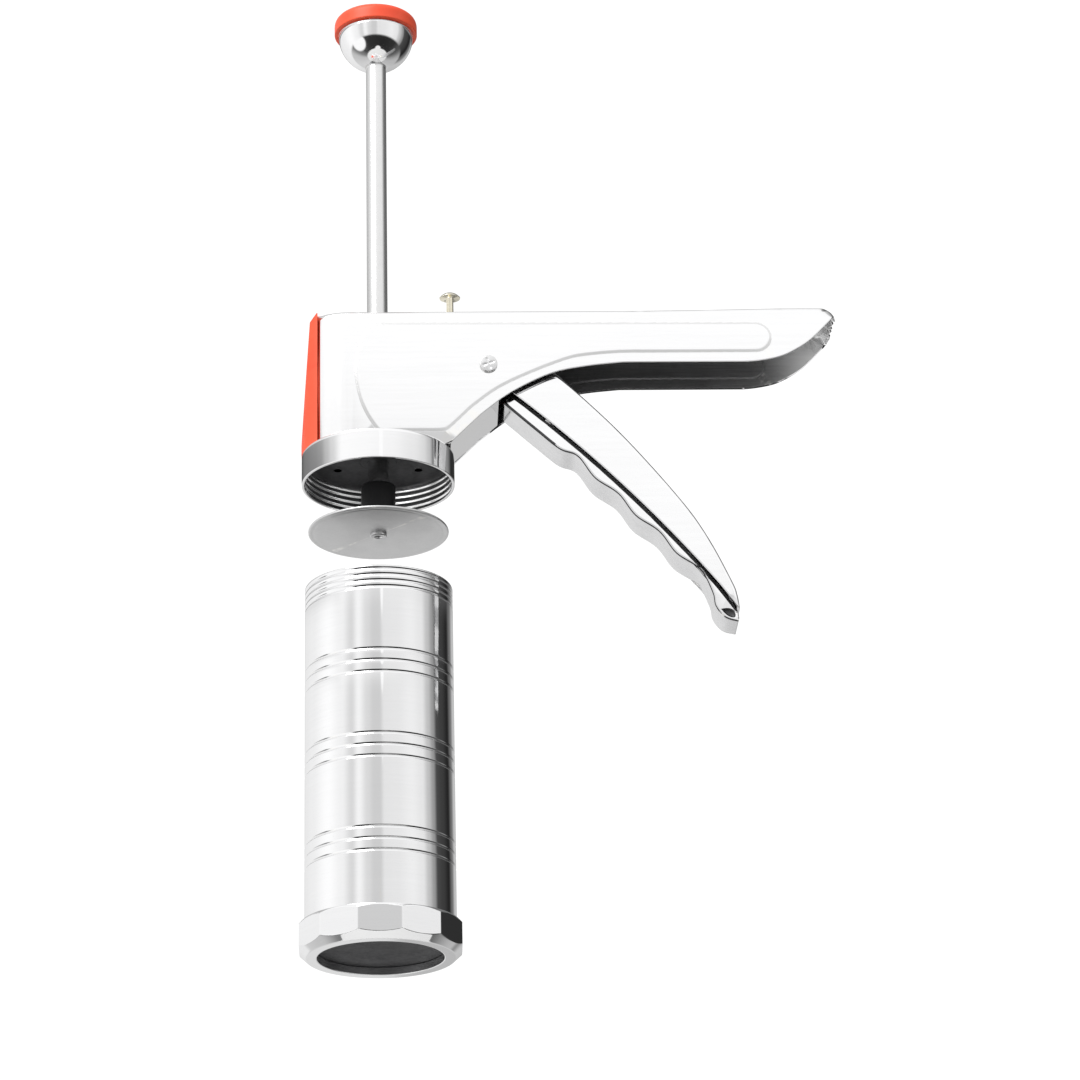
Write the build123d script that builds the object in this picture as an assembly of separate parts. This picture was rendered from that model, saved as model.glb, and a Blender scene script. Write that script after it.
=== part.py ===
from build123d import *
import os
from math import cos, pi, radians, sin, tan

# Stainless gun-style cookie press, shown taken apart along its rod: the head with its threaded
# collar, the plunger hanging below it and the barrel with its end cap lower still.
# Millimetres. The origin is the centre of the collar's lower rim, on the rod's axis.
# +Z runs up the rod to the knob, +X points along the handle, -Y is the left side.

# ---- driving dimensions -------------------------------------------------------------------
# head, two pressed shells
SHEET = 0.8
HEAD_HALF_WIDTH = 12.5
HEAD_TOP_Z = 63.5
HEAD_BOTTOM_Z = 11.4
HEAD_FRONT_X = -21.5
HEAD_FRONT_HALF_WIDTH = 8.7
NOSE_START_X = -10.0
HANDLE_END_X = 165.9
HANDLE_TIP_Z = 61.3
TAIL_RISE = 0.6
HANDLE_UNDER_Z = 42.6
PANEL_RAISE = 0.35

# collar and barrel, joined by a rolled thread
TUBE_R = 26.0
TUBE_WALL = 0.8
THREAD_PITCH = 2.2
THREAD_ROLL_R = 0.4
THREAD_GAP = 0.3
COLLAR_R = 27.25
COLLAR_HEIGHT = 11.3
COLLAR_RIDGES = 4
CEILING_Z = 9.2
FLANGE_Z = 10.3
BARREL_TOP_Z = -39.9
BARREL_BOTTOM_Z = -168.2
BEAD_R = 0.55
BEAD_SPACING = 4.1
BEAD_SET_Z = (-74.7, -105.1, -138.4)

# end cap with the plate and washer that lie in it
CAP_TOP_Z = -161.6
CAP_BOTTOM_Z = -173.5
CAP_FACETS = 12
CAP_APOTHEM = 27.7
CAP_MOUTH_R = 21.65
CAP_LIP = 2.9
DIE_R = 25.9
DIE_THICK = 1.0
WASHER_THICK = 1.0

# plunger
ROD_R = 3.75
ROD_BOTTOM_Z = -16.0
ROD_TOP_Z = 178.0
DISC_R = 24.93
DISC_TOP_Z = -17.2
DISC_THICK = 1.0
HUB_R = 6.1
HUB_TOP_Z = 0.0
KNOB_R = 13.9
KNOB_RIM_Z = 182.5
KNOB_WALL = 1.2
KNOB_CAP_R = 15.4
KNOB_CAP_TOP_Z = 188.9
FIT = 0.02
RUNNING_FIT = 0.07

# trigger lever and its pivot
PIVOT_X = 39.7
PIVOT_Z = 41.9
PIVOT_R = 2.5
PIVOT_HEAD_R = 3.2
LEVER_HALF_WIDTH = 9.4
LEVER_SHEET = 1.0
ARM_LENGTH = 28.0
ARM_ANGLE = 12.0
ARM_TIP_R = 3.0
GRIP_HALF_WIDTH = 8.0
GRIP_TIP_HALF_WIDTH = 5.0
FINGER_PITCH = 20.2

# gripping and locking plates round the rod
PLATE_THICK = 2.0
GRIP_PLATE_GAP = 0.35
LOCK_X = -11.0
LOCK_Z = 57.2
LOCK_TILT = 4.0
RELEASE_X = 26.4
RELEASE_STEM_R = 1.27
RELEASE_HEAD_R = 3.8
RELEASE_TOP_Z = 76.0
SHELF_TOP_Z = 53.5

ARM_TIP_X = PIVOT_X - ARM_LENGTH * cos(radians(ARM_ANGLE))
ARM_TIP_Z = PIVOT_Z + ARM_LENGTH * sin(radians(ARM_ANGLE))
GRIP_PLATE_TOP_Z = ARM_TIP_Z - ARM_TIP_R - GRIP_PLATE_GAP
THREAD_CREST_R = TUBE_R + THREAD_GAP
THREAD_ROOT_R = THREAD_CREST_R + THREAD_ROLL_R
DIE_BOTTOM_Z = CAP_BOTTOM_Z + CAP_LIP + 0.1


# ---- helpers ------------------------------------------------------------------------------
def disc(radius, low_z, high_z, x=0.0, y=0.0):
    """Upright cylinder between two heights."""
    return Pos(x, y, (low_z + high_z) / 2) * Cylinder(radius, high_z - low_z)


def tube(outer_r, inner_r, low_z, high_z, x=0.0, y=0.0):
    """Upright tube between two heights."""
    return disc(outer_r, low_z, high_z, x, y) - disc(inner_r, low_z - 1, high_z + 1, x, y)


def cross_bar(radius, x, z, half_length):
    """Round bar lying across the head, along Y."""
    return Pos(x, 0, z) * Rot(90, 0, 0) * Cylinder(radius, 2 * half_length)


def block(low, high):
    """Box between two opposite corners."""
    size = [b - a for a, b in zip(low, high)]
    middle = [(a + b) / 2 for a, b in zip(low, high)]
    return Pos(*middle) * Box(*size)


def side_prism(edges, half_width):
    """Solid with the given closed outline in the XZ plane, reaching to both sides of it."""
    return extrude(make_face(edges), half_width, both=True)


def roll_rings(radius, heights, roll_r):
    """Rings of round section, one at each height, as cutters or ridges."""
    return [Pos(0, 0, z) * Torus(radius, roll_r) for z in heights]


def coil_spring(coil_r, wire_r, low_z, high_z, turns, x=0.0):
    """Compression spring standing on a seat."""
    height = high_z - low_z - 2 * wire_r
    path = Helix(height / turns, height, coil_r)
    section = Plane(path @ 0, z_dir=path % 0) * Circle(wire_r)
    wire = sweep(section, path, is_frenet=True)
    return Pos(x, 0, low_z + wire_r) * wire


# ---- head ---------------------------------------------------------------------------------
def head_outline(drop=0.0):
    """Side outline of the head and handle, lowered by drop for the inside."""
    top = HEAD_TOP_Z - drop
    bottom = HEAD_BOTTOM_Z - drop
    knee = (36.4, 22.2 - drop)
    tail = (HANDLE_END_X - 4, top + TAIL_RISE)
    edges = Line((HEAD_FRONT_X, top), (95.0, top))
    edges += Spline((95.0, top), (145.0, top + TAIL_RISE), tail, tangents=[(1, 0), (1, -0.02)])
    edges += Line(tail, (HANDLE_END_X, HANDLE_TIP_Z - drop))
    edges += Spline(
        (HANDLE_END_X, HANDLE_TIP_Z - drop),
        (155.6, 50.6 - drop),
        (144.5, 44.4 - drop),
        (133.0, HANDLE_UNDER_Z - drop),
        tangents=[(-1, -1.05), (-1, 0)],
    )
    edges += Line((133.0, HANDLE_UNDER_Z - drop), (88.0, HANDLE_UNDER_Z - drop))
    edges += Spline(
        (88.0, HANDLE_UNDER_Z - drop),
        (61.7, 38.2 - drop),
        (47.2, 30.7 - drop),
        knee,
        tangents=[(-1, 0), (-1, -0.9)],
    )
    edges += Line(knee, (25.6, bottom))
    edges += Line((25.6, bottom), (HEAD_FRONT_X, bottom))
    edges += Line((HEAD_FRONT_X, bottom), (HEAD_FRONT_X, top))
    return [Plane.XZ * edge for edge in edges.edges()]


def head_plan(inset):
    """Plan outline of the head: straight sides, a rounded nose and a blunt tail."""
    half = HEAD_HALF_WIDTH - inset
    front = HEAD_FRONT_HALF_WIDTH - inset
    tail_x = HANDLE_END_X - inset
    corner = 3.0
    edges = Line((NOSE_START_X, half), (tail_x - corner, half))
    edges += RadiusArc((tail_x - corner, half), (tail_x, half - corner), corner)
    edges += Line((tail_x, half - corner), (tail_x, corner - half))
    edges += RadiusArc((tail_x, corner - half), (tail_x - corner, -half), corner)
    edges += Line((tail_x - corner, -half), (NOSE_START_X, -half))
    edges += TangentArc((NOSE_START_X, -half), (HEAD_FRONT_X - 0.01, -front), tangent=(-1, 0))
    edges += Line((HEAD_FRONT_X - 0.01, -front), (HEAD_FRONT_X - 0.01, front))
    edges += TangentArc((NOSE_START_X, half), (HEAD_FRONT_X - 0.01, front), tangent=(-1, 0))
    return make_face(edges.edges())


def head_solid(inset):
    """Full head form, smaller all round by inset for the hollow."""
    side = side_prism(head_outline(drop=inset), HEAD_HALF_WIDTH + 1)
    plan = Pos(0, 0, -5) * extrude(head_plan(inset), 80)
    return side & plan


def panel_outline():
    """Outline of the raised panel on each side of the head."""
    edges = Line((1.5, 58.1), (136.0, 57.6))
    edges += ThreePointArc((136.0, 57.6), (141.4, 52.2), (136.0, 46.8))
    edges += Line((136.0, 46.8), (88.0, 46.8))
    edges += Spline(
        (88.0, 46.8), (66.0, 43.6), (45.0, 34.2), (32.9, 25.2), tangents=[(-1, 0), (-1, -0.85)]
    )
    edges += Line((32.9, 25.2), (24.0, 16.5))
    edges += Line((24.0, 16.5), (-0.5, 16.5))
    edges += Spline(
        (-0.5, 16.5), (-5.6, 27.5), (-7.8, 40.8), (-5.0, 53.0), (1.5, 58.1),
        tangents=[(-0.6, 1), (1, 0.15)],
    )
    return [Plane.XZ * edge for edge in edges.edges()]


def head_shells():
    """Left and right pressed shells, which meet along the middle of the head's top."""
    outer = head_solid(0)
    inner = head_solid(SHEET)
    lead_in = block((HEAD_FRONT_X - 1, -HEAD_FRONT_HALF_WIDTH + SHEET, 0),
                    (NOSE_START_X, HEAD_FRONT_HALF_WIDTH - SHEET, HEAD_TOP_Z - SHEET))
    panel = side_prism(panel_outline(), HEAD_HALF_WIDTH + PANEL_RAISE)
    body = outer + panel - inner - lead_in
    body -= cross_bar(PIVOT_R + RUNNING_FIT, PIVOT_X, PIVOT_Z, 20)
    body -= disc(5.5 + FIT, HEAD_TOP_Z - 3, HEAD_TOP_Z + 3)
    body -= disc(RELEASE_STEM_R + 0.3, HEAD_TOP_Z - 3, HEAD_TOP_Z + 3, x=RELEASE_X)
    left = body & block((-40, -20, 0), (180, 0, 80))
    right = body & block((-40, 0, 0), (180, 20, 80))
    return left, right


def underside_plate():
    """Sloping plate that closes the head between the collar and the trigger."""
    low_x, low_z = 25.9, 12.3
    knee_x, knee_z = 36.4, 22.6
    top_x, top_z = 43.3, 28.4
    thick = 1.2
    outline = Polyline(
        (low_x, low_z), (knee_x, knee_z), (top_x, top_z),
        (top_x - thick, top_z + thick), (knee_x - thick, knee_z + thick), (low_x - thick, low_z + thick),
        close=True,
    )
    half = HEAD_HALF_WIDTH - SHEET - FIT
    return side_prism([Plane.XZ * edge for edge in outline.edges()], half)


def front_cover():
    """Moulded cover that closes the nose and caps the front of the head's top."""
    wall = 2.0
    foot_x = -27.3
    top_x = -24.3
    side = Polyline(
        (HEAD_FRONT_X - FIT, HEAD_BOTTOM_Z), (foot_x, HEAD_BOTTOM_Z), (foot_x, 15.0),
        (top_x, HEAD_TOP_Z - 2.5), (top_x + 2.5, HEAD_TOP_Z + 0.5), (HEAD_FRONT_X - FIT, HEAD_TOP_Z + 0.5),
        close=True,
    )
    form = side_prism([Plane.XZ * edge for edge in side.edges()], 10.2)
    nose = ThreePointArc((-20.0, -10.2), (-27.6, 0), (-20.0, 10.2))
    nose += Line((-20.0, 10.2), (-20.0, -10.2))
    form &= extrude(make_face(nose.edges()), 80)
    hollow = block((HEAD_FRONT_X - 3.0, -7.0, HEAD_BOTTOM_Z + wall), (0, 7.0, HEAD_TOP_Z - wall))
    lip = block((HEAD_FRONT_X - 1, -6.5, HEAD_TOP_Z + FIT), (-12.0, 6.5, HEAD_TOP_Z + 0.5))
    return form - hollow + lip


def threaded_collar():
    """Collar with rolled inner ridges and a flat top that carries the head."""
    body = disc(COLLAR_R, 0, COLLAR_HEIGHT)
    body = fillet(body.edges().sort_by(Axis.Z)[-1], 0.9)
    body -= disc(THREAD_CREST_R, -1, FLANGE_Z)
    body -= disc(9.0, 0, COLLAR_HEIGHT + 1)
    heights = [1.6 + THREAD_PITCH * (i - 0.5) for i in range(COLLAR_RIDGES)]
    for ring in roll_rings(THREAD_CREST_R, heights, THREAD_ROLL_R):
        body -= ring
    for x, y in rivet_places():
        body -= disc(1.5 + FIT, 0, 20, x, y)
    return body


def base_plate():
    """Dark disc that lines the collar's ceiling."""
    body = disc(THREAD_CREST_R - 0.1, CEILING_Z, FLANGE_Z)
    body -= disc(6.5 + FIT, 0, 20)
    for x, y in rivet_places():
        body -= disc(1.5 + FIT, 0, 20, x, y)
    return body


def rivet_places():
    """Where the rivets stand that hold the collar, the base plate and the frame together."""
    return [(x, y) for x in (-14.5, 14.5) for y in (-7.0, 7.0)]


def inner_frame():
    """C-shaped steel frame: a foot on the collar, an upright and the shelf of the lock spring."""
    foot_z = COLLAR_HEIGHT + FIT
    half = 7.8
    body = block((-19.0, -half, foot_z), (19.0, half, foot_z + 1.5))
    body += block((-19.0, -half, foot_z), (-17.5, half, SHELF_TOP_Z))
    body += block((-19.0, -half, SHELF_TOP_Z - 1.5), (31.0, half, SHELF_TOP_Z))
    body -= disc(6.5 + FIT, 0, foot_z + 3)
    body -= disc(ROD_R + 0.3, SHELF_TOP_Z - 5, SHELF_TOP_Z + 5)
    for x, y in rivet_places():
        body -= disc(1.5 + FIT, 0, 20, x, y)
    return body


def lower_guide_bush():
    """Flanged bush that guides the rod where it enters the collar."""
    body = disc(6.5, CEILING_Z, 14.5) + disc(8.5, COLLAR_HEIGHT + 1.5 + 2 * FIT, 14.5)
    return body - disc(ROD_R + RUNNING_FIT, 0, 30)


def upper_guide_bush():
    """Bush that guides the rod through the top of the head, with its flange inside."""
    body = disc(5.5, 60.4, HEAD_TOP_Z) + disc(7.2, 60.4, HEAD_TOP_Z - SHEET - FIT)
    return body - disc(ROD_R + RUNNING_FIT, 50, 80)


def base_rivets():
    """Four rivets with flat heads above and below."""
    low = CEILING_Z
    high = COLLAR_HEIGHT + 1.5 + 2 * FIT
    rivets = [disc(1.5, low, high, x, y) + disc(2.4, high, high + 0.9, x, y) for x, y in rivet_places()]
    return Compound(children=rivets)


def pivot_rivet():
    """Rivet that the trigger turns on, with a low head on each side of the head."""
    face = HEAD_HALF_WIDTH + PANEL_RAISE + FIT
    body = cross_bar(PIVOT_R, PIVOT_X, PIVOT_Z, face)
    for side in (-1, 1):
        head = Pos(PIVOT_X, side * (face + 0.45), PIVOT_Z) * Rot(90, 0, 0) * Cylinder(PIVOT_HEAD_R, 0.9)
        body += head
    rims = body.edges().filter_by(GeomType.CIRCLE).sort_by(Axis.Y)
    return chamfer([rims[0], rims[-1]], 0.35)


# ---- trigger ------------------------------------------------------------------------------
def lever_blade():
    """Crescent side of the trigger, from the head down to its tip."""
    edges = Line((44.0, 36.0), (48.1, 32.3))
    edges += ThreePointArc((48.1, 32.3), (87.9, -4.9), (119.9, -41.9))
    edges += Line((119.9, -41.9), (125.7, -50.0))
    edges += Line((125.7, -50.0), (126.6, -50.6))
    edges += Spline(
        (126.6, -50.6), (124.4, -40.5), (107.0, -8.8), (86.4, 16.9), (64.4, 39.7),
        tangents=[(-0.05, 1), (-1, 0.95)],
    )
    edges += Line((64.4, 39.7), (52.0, 50.0))
    edges += Line((52.0, 50.0), (40.0, 48.0))
    edges += Line((40.0, 48.0), (44.0, 36.0))
    return [Plane.XZ * edge for edge in edges.edges()]


def lever_arm():
    """Short arm that reaches from the pivot to the gripping plate."""
    root_r = 5.5
    up = Vector(sin(radians(ARM_ANGLE)), cos(radians(ARM_ANGLE)))
    pivot = Vector(PIVOT_X, PIVOT_Z)
    tip = Vector(ARM_TIP_X, ARM_TIP_Z)
    outline = Polyline(
        pivot + up * root_r, tip + up * ARM_TIP_R, tip - up * ARM_TIP_R, pivot - up * ARM_TIP_R, close=True
    )
    return [Plane.XZ * edge for edge in outline.edges()]


def lever_form(half_width, shift=0.0):
    """Whole trigger outline as a solid, moved down and forward by shift for the hollow."""
    body = side_prism(lever_blade(), half_width)
    body += side_prism(lever_arm(), half_width)
    body += cross_bar(7.5, PIVOT_X, PIVOT_Z, half_width)
    body += cross_bar(ARM_TIP_R, ARM_TIP_X, ARM_TIP_Z, half_width)
    return Pos(-shift, 0, -shift) * body


def trigger_lever():
    """Folded sheet lever: two side plates joined along the back, open at the front."""
    body = lever_form(LEVER_HALF_WIDTH) - lever_form(LEVER_HALF_WIDTH - LEVER_SHEET, shift=0.8)
    body -= block((0, -LEVER_HALF_WIDTH + LEVER_SHEET, 30), (35, LEVER_HALF_WIDTH - LEVER_SHEET, 60))
    body -= cross_bar(PIVOT_R + RUNNING_FIT, PIVOT_X, PIVOT_Z, 20)
    for x, z in grip_rivet_places():
        body -= cross_bar(1.5 + FIT, x, z, 20)
    return body


def grip_front(shift=0.0):
    """Front edge of the grip: a straight start, finger scallops and a hooked end."""
    start = Vector(48.1, 32.3)
    along = Vector(0.695, -0.7186)
    out = Vector(-0.7186, -0.695)
    points = [start + out * 4.8, start + along * 16 + out * 3.9, start + along * 27 + out * 3.0]
    for i in range(7):
        valley = i % 2 == 0
        points.append(start + along * (33.5 + FINGER_PITCH / 2 * i) + out * (0.4 if valley else 2.0))
    points += [Vector(117.2, -44.0), Vector(118.2, -49.2), Vector(121.4, -53.4), Vector(126.3, -55.0)]
    return [(p.X + shift, p.Y + shift) for p in points]


def grip_form(half_width, shift=0.0):
    """Grip outline as a solid, moved up and back by shift for the hollow."""
    points = grip_front(shift)
    edges = Spline(*points)
    edges += Line(points[-1], (125.2 + shift, -49.6 + shift))
    edges += Line((125.2 + shift, -49.6 + shift), (121.5 + shift, -40.5 + shift))
    edges += ThreePointArc(
        (121.5 + shift, -40.5 + shift), (90.8 + shift, -2.0 + shift), (51.5 + shift, 34.5 + shift)
    )
    edges += Line((51.5 + shift, 34.5 + shift), points[0])
    form = side_prism([Plane.XZ * edge for edge in edges.edges()], half_width)
    tip = half_width - GRIP_HALF_WIDTH + GRIP_TIP_HALF_WIDTH
    plan = Polyline(
        (30, -half_width), (112, -half_width), (128, -tip), (128, tip), (112, half_width), (30, half_width),
        close=True,
    )
    return form & Pos(0, 0, -80) * extrude(make_face(plan.edges()), 160)


def trigger_grip():
    """Folded grip channel with finger scallops along its front."""
    body = grip_form(GRIP_HALF_WIDTH) - grip_form(GRIP_HALF_WIDTH - SHEET, shift=0.65)
    for x, z in grip_rivet_places():
        body -= cross_bar(1.5 + FIT, x, z, 20)
    return body


def grip_rivet_places():
    """Where the grip is riveted inside the lever."""
    return [(61.5, 23.0), (112.0, -27.0)]


def grip_rivets():
    """Rivets that hold the grip between the lever's sides, flush with its faces."""
    return Compound(children=[cross_bar(1.5, x, z, LEVER_HALF_WIDTH) for x, z in grip_rivet_places()])


def lever_bush():
    """Spacer tube on the pivot, between the lever's sides."""
    half = LEVER_HALF_WIDTH - LEVER_SHEET - FIT
    return cross_bar(4.0, PIVOT_X, PIVOT_Z, half) - cross_bar(PIVOT_R + RUNNING_FIT, PIVOT_X, PIVOT_Z, 20)


# ---- gripping and locking -----------------------------------------------------------------
def grip_plate():
    """Steel plate that the lever's arm pushes down and that bites on the rod."""
    low = GRIP_PLATE_TOP_Z - PLATE_THICK
    body = block((-9.0, -10.2, low), (13.0, 10.2, GRIP_PLATE_TOP_Z))
    body = fillet(body.edges().filter_by(Axis.Z), 2.5)
    return body - disc(ROD_R + 0.1, 0, 60)


def drive_spring():
    """Spring that lifts the gripping plate and, through it, the trigger."""
    return coil_spring(7.0, 0.6, 14.7, GRIP_PLATE_TOP_Z - PLATE_THICK - 0.15, 7)


def lock_plate():
    """Tilted plate that stops the rod from sliding back, pushed level by the release pin."""
    end_x = 31.0
    length = end_x - LOCK_X
    flat = block((0, -6.0, -PLATE_THICK / 2), (length, 6.0, PLATE_THICK / 2))
    flat = fillet(flat.edges().filter_by(Axis.Z), 2.0)
    flat += Rot(90, 0, 0) * Cylinder(PLATE_THICK / 2, 8.0)
    body = Pos(LOCK_X, 0, LOCK_Z) * Rot(0, -LOCK_TILT, 0) * flat
    rod_z = LOCK_Z - LOCK_X * tan(radians(LOCK_TILT))
    return body - Pos(0, 0, rod_z) * Rot(0, -LOCK_TILT, 0) * Cylinder(ROD_R + 0.22, 10)


def lock_end_z():
    """Height of the locking plate's middle under the release pin."""
    return LOCK_Z + (RELEASE_X - LOCK_X) * tan(radians(LOCK_TILT))


def lock_spring():
    """Small spring that keeps the locking plate tilted."""
    return coil_spring(2.6, 0.3, SHELF_TOP_Z + 0.1, lock_end_z() - PLATE_THICK / 2 - 0.35, 4, x=RELEASE_X)


def release_pin():
    """Mushroom-headed pin on top of the head, pressed to let the rod slide back."""
    low = lock_end_z() + PLATE_THICK / 2 + 0.15
    stem = disc(RELEASE_STEM_R, low, RELEASE_TOP_Z - 1.0, x=RELEASE_X)
    dome_r = 4.6
    dome = Pos(RELEASE_X, 0, RELEASE_TOP_Z - dome_r) * Sphere(dome_r)
    dome &= disc(RELEASE_HEAD_R, RELEASE_TOP_Z - 2.1, RELEASE_TOP_Z, x=RELEASE_X)
    return stem + dome


def release_pin_clip():
    """Spring clip that keeps the release pin from coming out."""
    return tube(3.0, RELEASE_STEM_R + FIT, 61.5, 62.3, x=RELEASE_X)


# ---- plunger ------------------------------------------------------------------------------
def plunger_rod():
    """Straight steel rod, drilled for the piston screw."""
    body = disc(ROD_R, ROD_BOTTOM_Z, ROD_TOP_Z)
    body = chamfer(body.edges().filter_by(GeomType.CIRCLE), 0.4)
    return body - disc(1.6 + FIT, ROD_BOTTOM_Z - 1, ROD_BOTTOM_Z + 9)


def knob_dome():
    """Polished hollow half-ball that the palm pushes on."""
    ball = Pos(0, 0, KNOB_RIM_Z) * Sphere(KNOB_R)
    hollow = Pos(0, 0, KNOB_RIM_Z) * Sphere(KNOB_R - KNOB_WALL)
    body = ball & disc(KNOB_R + 1, KNOB_RIM_Z - KNOB_R - 1, KNOB_RIM_Z)
    body -= hollow
    return body - disc(ROD_R + FIT, 100, 200)


def knob_nut():
    """Hexagon nut that holds the dome on the rod."""
    low = 172.2
    body = Pos(0, 0, low) * extrude(RegularPolygon(6.8, 6), 4.5)
    return body - disc(ROD_R + FIT, 100, 200)


def knob_cap():
    """Moulded cap that closes the dome and stands out past its rim."""
    body = disc(KNOB_CAP_R, KNOB_RIM_Z + FIT, KNOB_CAP_TOP_Z)
    body = fillet(body.edges().sort_by(Axis.Z)[-1], 3.0)
    plug_r = KNOB_R - KNOB_WALL - 0.6
    return body + tube(plug_r, plug_r - 1.5, KNOB_RIM_Z - 3.0, KNOB_RIM_Z + 0.5)


def piston_hub():
    """Black hub that stiffens the piston at the end of the rod."""
    body = disc(HUB_R, DISC_TOP_Z + FIT, HUB_TOP_Z)
    body = chamfer(body.edges().sort_by(Axis.Z)[-1], 0.8)
    body -= disc(ROD_R + FIT, ROD_BOTTOM_Z - FIT, 10)
    return body - disc(1.6 + FIT, -30, 0)


def piston_disc():
    """Thin disc that pushes the dough down the barrel."""
    body = disc(DISC_R, DISC_TOP_Z - DISC_THICK, DISC_TOP_Z)
    return body - disc(1.6 + FIT, -30, 0)


def piston_screw():
    """Screw that holds the piston disc to the rod's end."""
    seat = DISC_TOP_Z - DISC_THICK - FIT
    body = disc(1.6, seat, ROD_BOTTOM_Z + 8) + disc(3.0, seat - 1.2, seat)
    return chamfer(body.edges().filter_by(GeomType.CIRCLE).sort_by(Axis.Z)[0], 0.4)


# ---- barrel -------------------------------------------------------------------------------
def barrel_tube():
    """Barrel with a rolled thread at each end and three sets of three beads."""
    body = tube(TUBE_R, TUBE_R - TUBE_WALL, BARREL_BOTTOM_Z, BARREL_TOP_Z)
    top_grooves = [BARREL_TOP_Z - 1.2 - THREAD_PITCH * i for i in range(COLLAR_RIDGES)]
    low_grooves = [BARREL_BOTTOM_Z + 1.2 + THREAD_PITCH * i for i in range(2)]
    beads = [z + BEAD_SPACING * i for z in BEAD_SET_Z for i in (-1, 0, 1)]
    for ring in roll_rings(TUBE_R + 0.05, top_grooves + low_grooves, THREAD_ROLL_R):
        body -= ring
    for ring in roll_rings(TUBE_R + 0.15, beads, BEAD_R):
        body -= ring
    return body


def end_cap():
    """Faceted screw cap with a bevelled foot and a round mouth."""
    corner_r = CAP_APOTHEM / cos(pi / CAP_FACETS)
    prism = Pos(0, 0, CAP_BOTTOM_Z) * extrude(RegularPolygon(corner_r, CAP_FACETS), CAP_TOP_Z - CAP_BOTTOM_Z)
    prism = Rot(0, 0, 180 / CAP_FACETS) * prism
    turned = Plane.XZ * make_face(
        Polyline((0, CAP_BOTTOM_Z), (25.5, CAP_BOTTOM_Z), (corner_r, CAP_BOTTOM_Z + 3.0),
                 (corner_r, CAP_TOP_Z - 1.4), (27.4, CAP_TOP_Z), (0, CAP_TOP_Z), close=True).edges()
    )
    body = prism & revolve(turned, Axis.Z)
    body -= disc(CAP_MOUTH_R, CAP_BOTTOM_Z - 1, CAP_TOP_Z)
    body -= disc(THREAD_CREST_R, CAP_BOTTOM_Z + CAP_LIP, CAP_TOP_Z + 1)
    grooves = [CAP_TOP_Z - 1.5 - THREAD_PITCH * i for i in range(3)]
    for ring in roll_rings(THREAD_CREST_R, grooves, THREAD_ROLL_R):
        body -= ring
    return body


def die_plate():
    """Plate that lies on the cap's lip and closes the mouth behind the dies."""
    return disc(DIE_R, DIE_BOTTOM_Z, DIE_BOTTOM_Z + DIE_THICK)


def sealing_washer():
    """Flat washer between the die plate and the barrel's end."""
    low = DIE_BOTTOM_Z + DIE_THICK + FIT
    return tube(DIE_R, CAP_MOUTH_R + 1.0, low, low + WASHER_THICK)


# ---- build --------------------------------------------------------------------------------
left_shell, right_shell = head_shells()
parts = {
    "left_side_shell": left_shell,
    "right_side_shell": right_shell,
    "underside_plate": underside_plate(),
    "front_cover": front_cover(),
    "threaded_collar": threaded_collar(),
    "base_plate": base_plate(),
    "inner_frame": inner_frame(),
    "lower_guide_bush": lower_guide_bush(),
    "upper_guide_bush": upper_guide_bush(),
    "base_rivets": base_rivets(),
    "pivot_rivet": pivot_rivet(),
    "drive_spring": drive_spring(),
    "trigger_lever": trigger_lever(),
    "trigger_grip": trigger_grip(),
    "grip_rivets": grip_rivets(),
    "lever_bush": lever_bush(),
    "grip_plate": grip_plate(),
    "lock_plate": lock_plate(),
    "lock_spring": lock_spring(),
    "release_pin": release_pin(),
    "release_pin_clip": release_pin_clip(),
    "plunger_rod": plunger_rod(),
    "knob_dome": knob_dome(),
    "knob_nut": knob_nut(),
    "knob_cap": knob_cap(),
    "piston_hub": piston_hub(),
    "piston_disc": piston_disc(),
    "piston_screw": piston_screw(),
    "barrel_tube": barrel_tube(),
    "end_cap": end_cap(),
    "die_plate": die_plate(),
    "sealing_washer": sealing_washer(),
}

os.makedirs("parts", exist_ok=True)
for name, shape in parts.items():
    export_step(shape, f"parts/{name}.step")
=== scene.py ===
"""Cookie press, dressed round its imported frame.

Every piece is built at its own place in the frame, in metres: +Z up the rod, +X along the handle
and -Y the left side of the head. Sizes that the frame knows are read from it; the rest are fields of
the class that makes the piece.
"""
import logging
import math
from dataclasses import dataclass
from enum import Enum
from functools import lru_cache
from typing import Callable, Optional, Sequence

import bmesh
import bpy
from mathutils import Matrix, Vector
from mathutils.geometry import delaunay_2d_cdt


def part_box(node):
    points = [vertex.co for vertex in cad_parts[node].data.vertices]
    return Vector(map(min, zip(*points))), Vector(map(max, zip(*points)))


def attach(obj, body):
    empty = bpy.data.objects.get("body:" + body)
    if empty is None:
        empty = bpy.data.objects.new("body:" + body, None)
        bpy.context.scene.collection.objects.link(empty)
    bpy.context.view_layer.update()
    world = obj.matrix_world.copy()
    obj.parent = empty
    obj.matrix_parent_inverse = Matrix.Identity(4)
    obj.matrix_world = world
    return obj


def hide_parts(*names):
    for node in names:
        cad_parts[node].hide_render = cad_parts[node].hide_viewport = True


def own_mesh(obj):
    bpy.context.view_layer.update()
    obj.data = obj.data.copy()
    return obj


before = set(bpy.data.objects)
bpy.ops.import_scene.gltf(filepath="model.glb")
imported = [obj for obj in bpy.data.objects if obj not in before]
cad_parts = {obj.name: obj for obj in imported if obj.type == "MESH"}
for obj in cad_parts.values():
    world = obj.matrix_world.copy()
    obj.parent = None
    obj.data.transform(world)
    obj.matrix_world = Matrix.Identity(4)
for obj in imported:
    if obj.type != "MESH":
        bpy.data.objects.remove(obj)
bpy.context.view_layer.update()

MM = 0.001
LOG = logging.getLogger("cookie_press")
Point = tuple[float, float]
Outline = list[Point]


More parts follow.
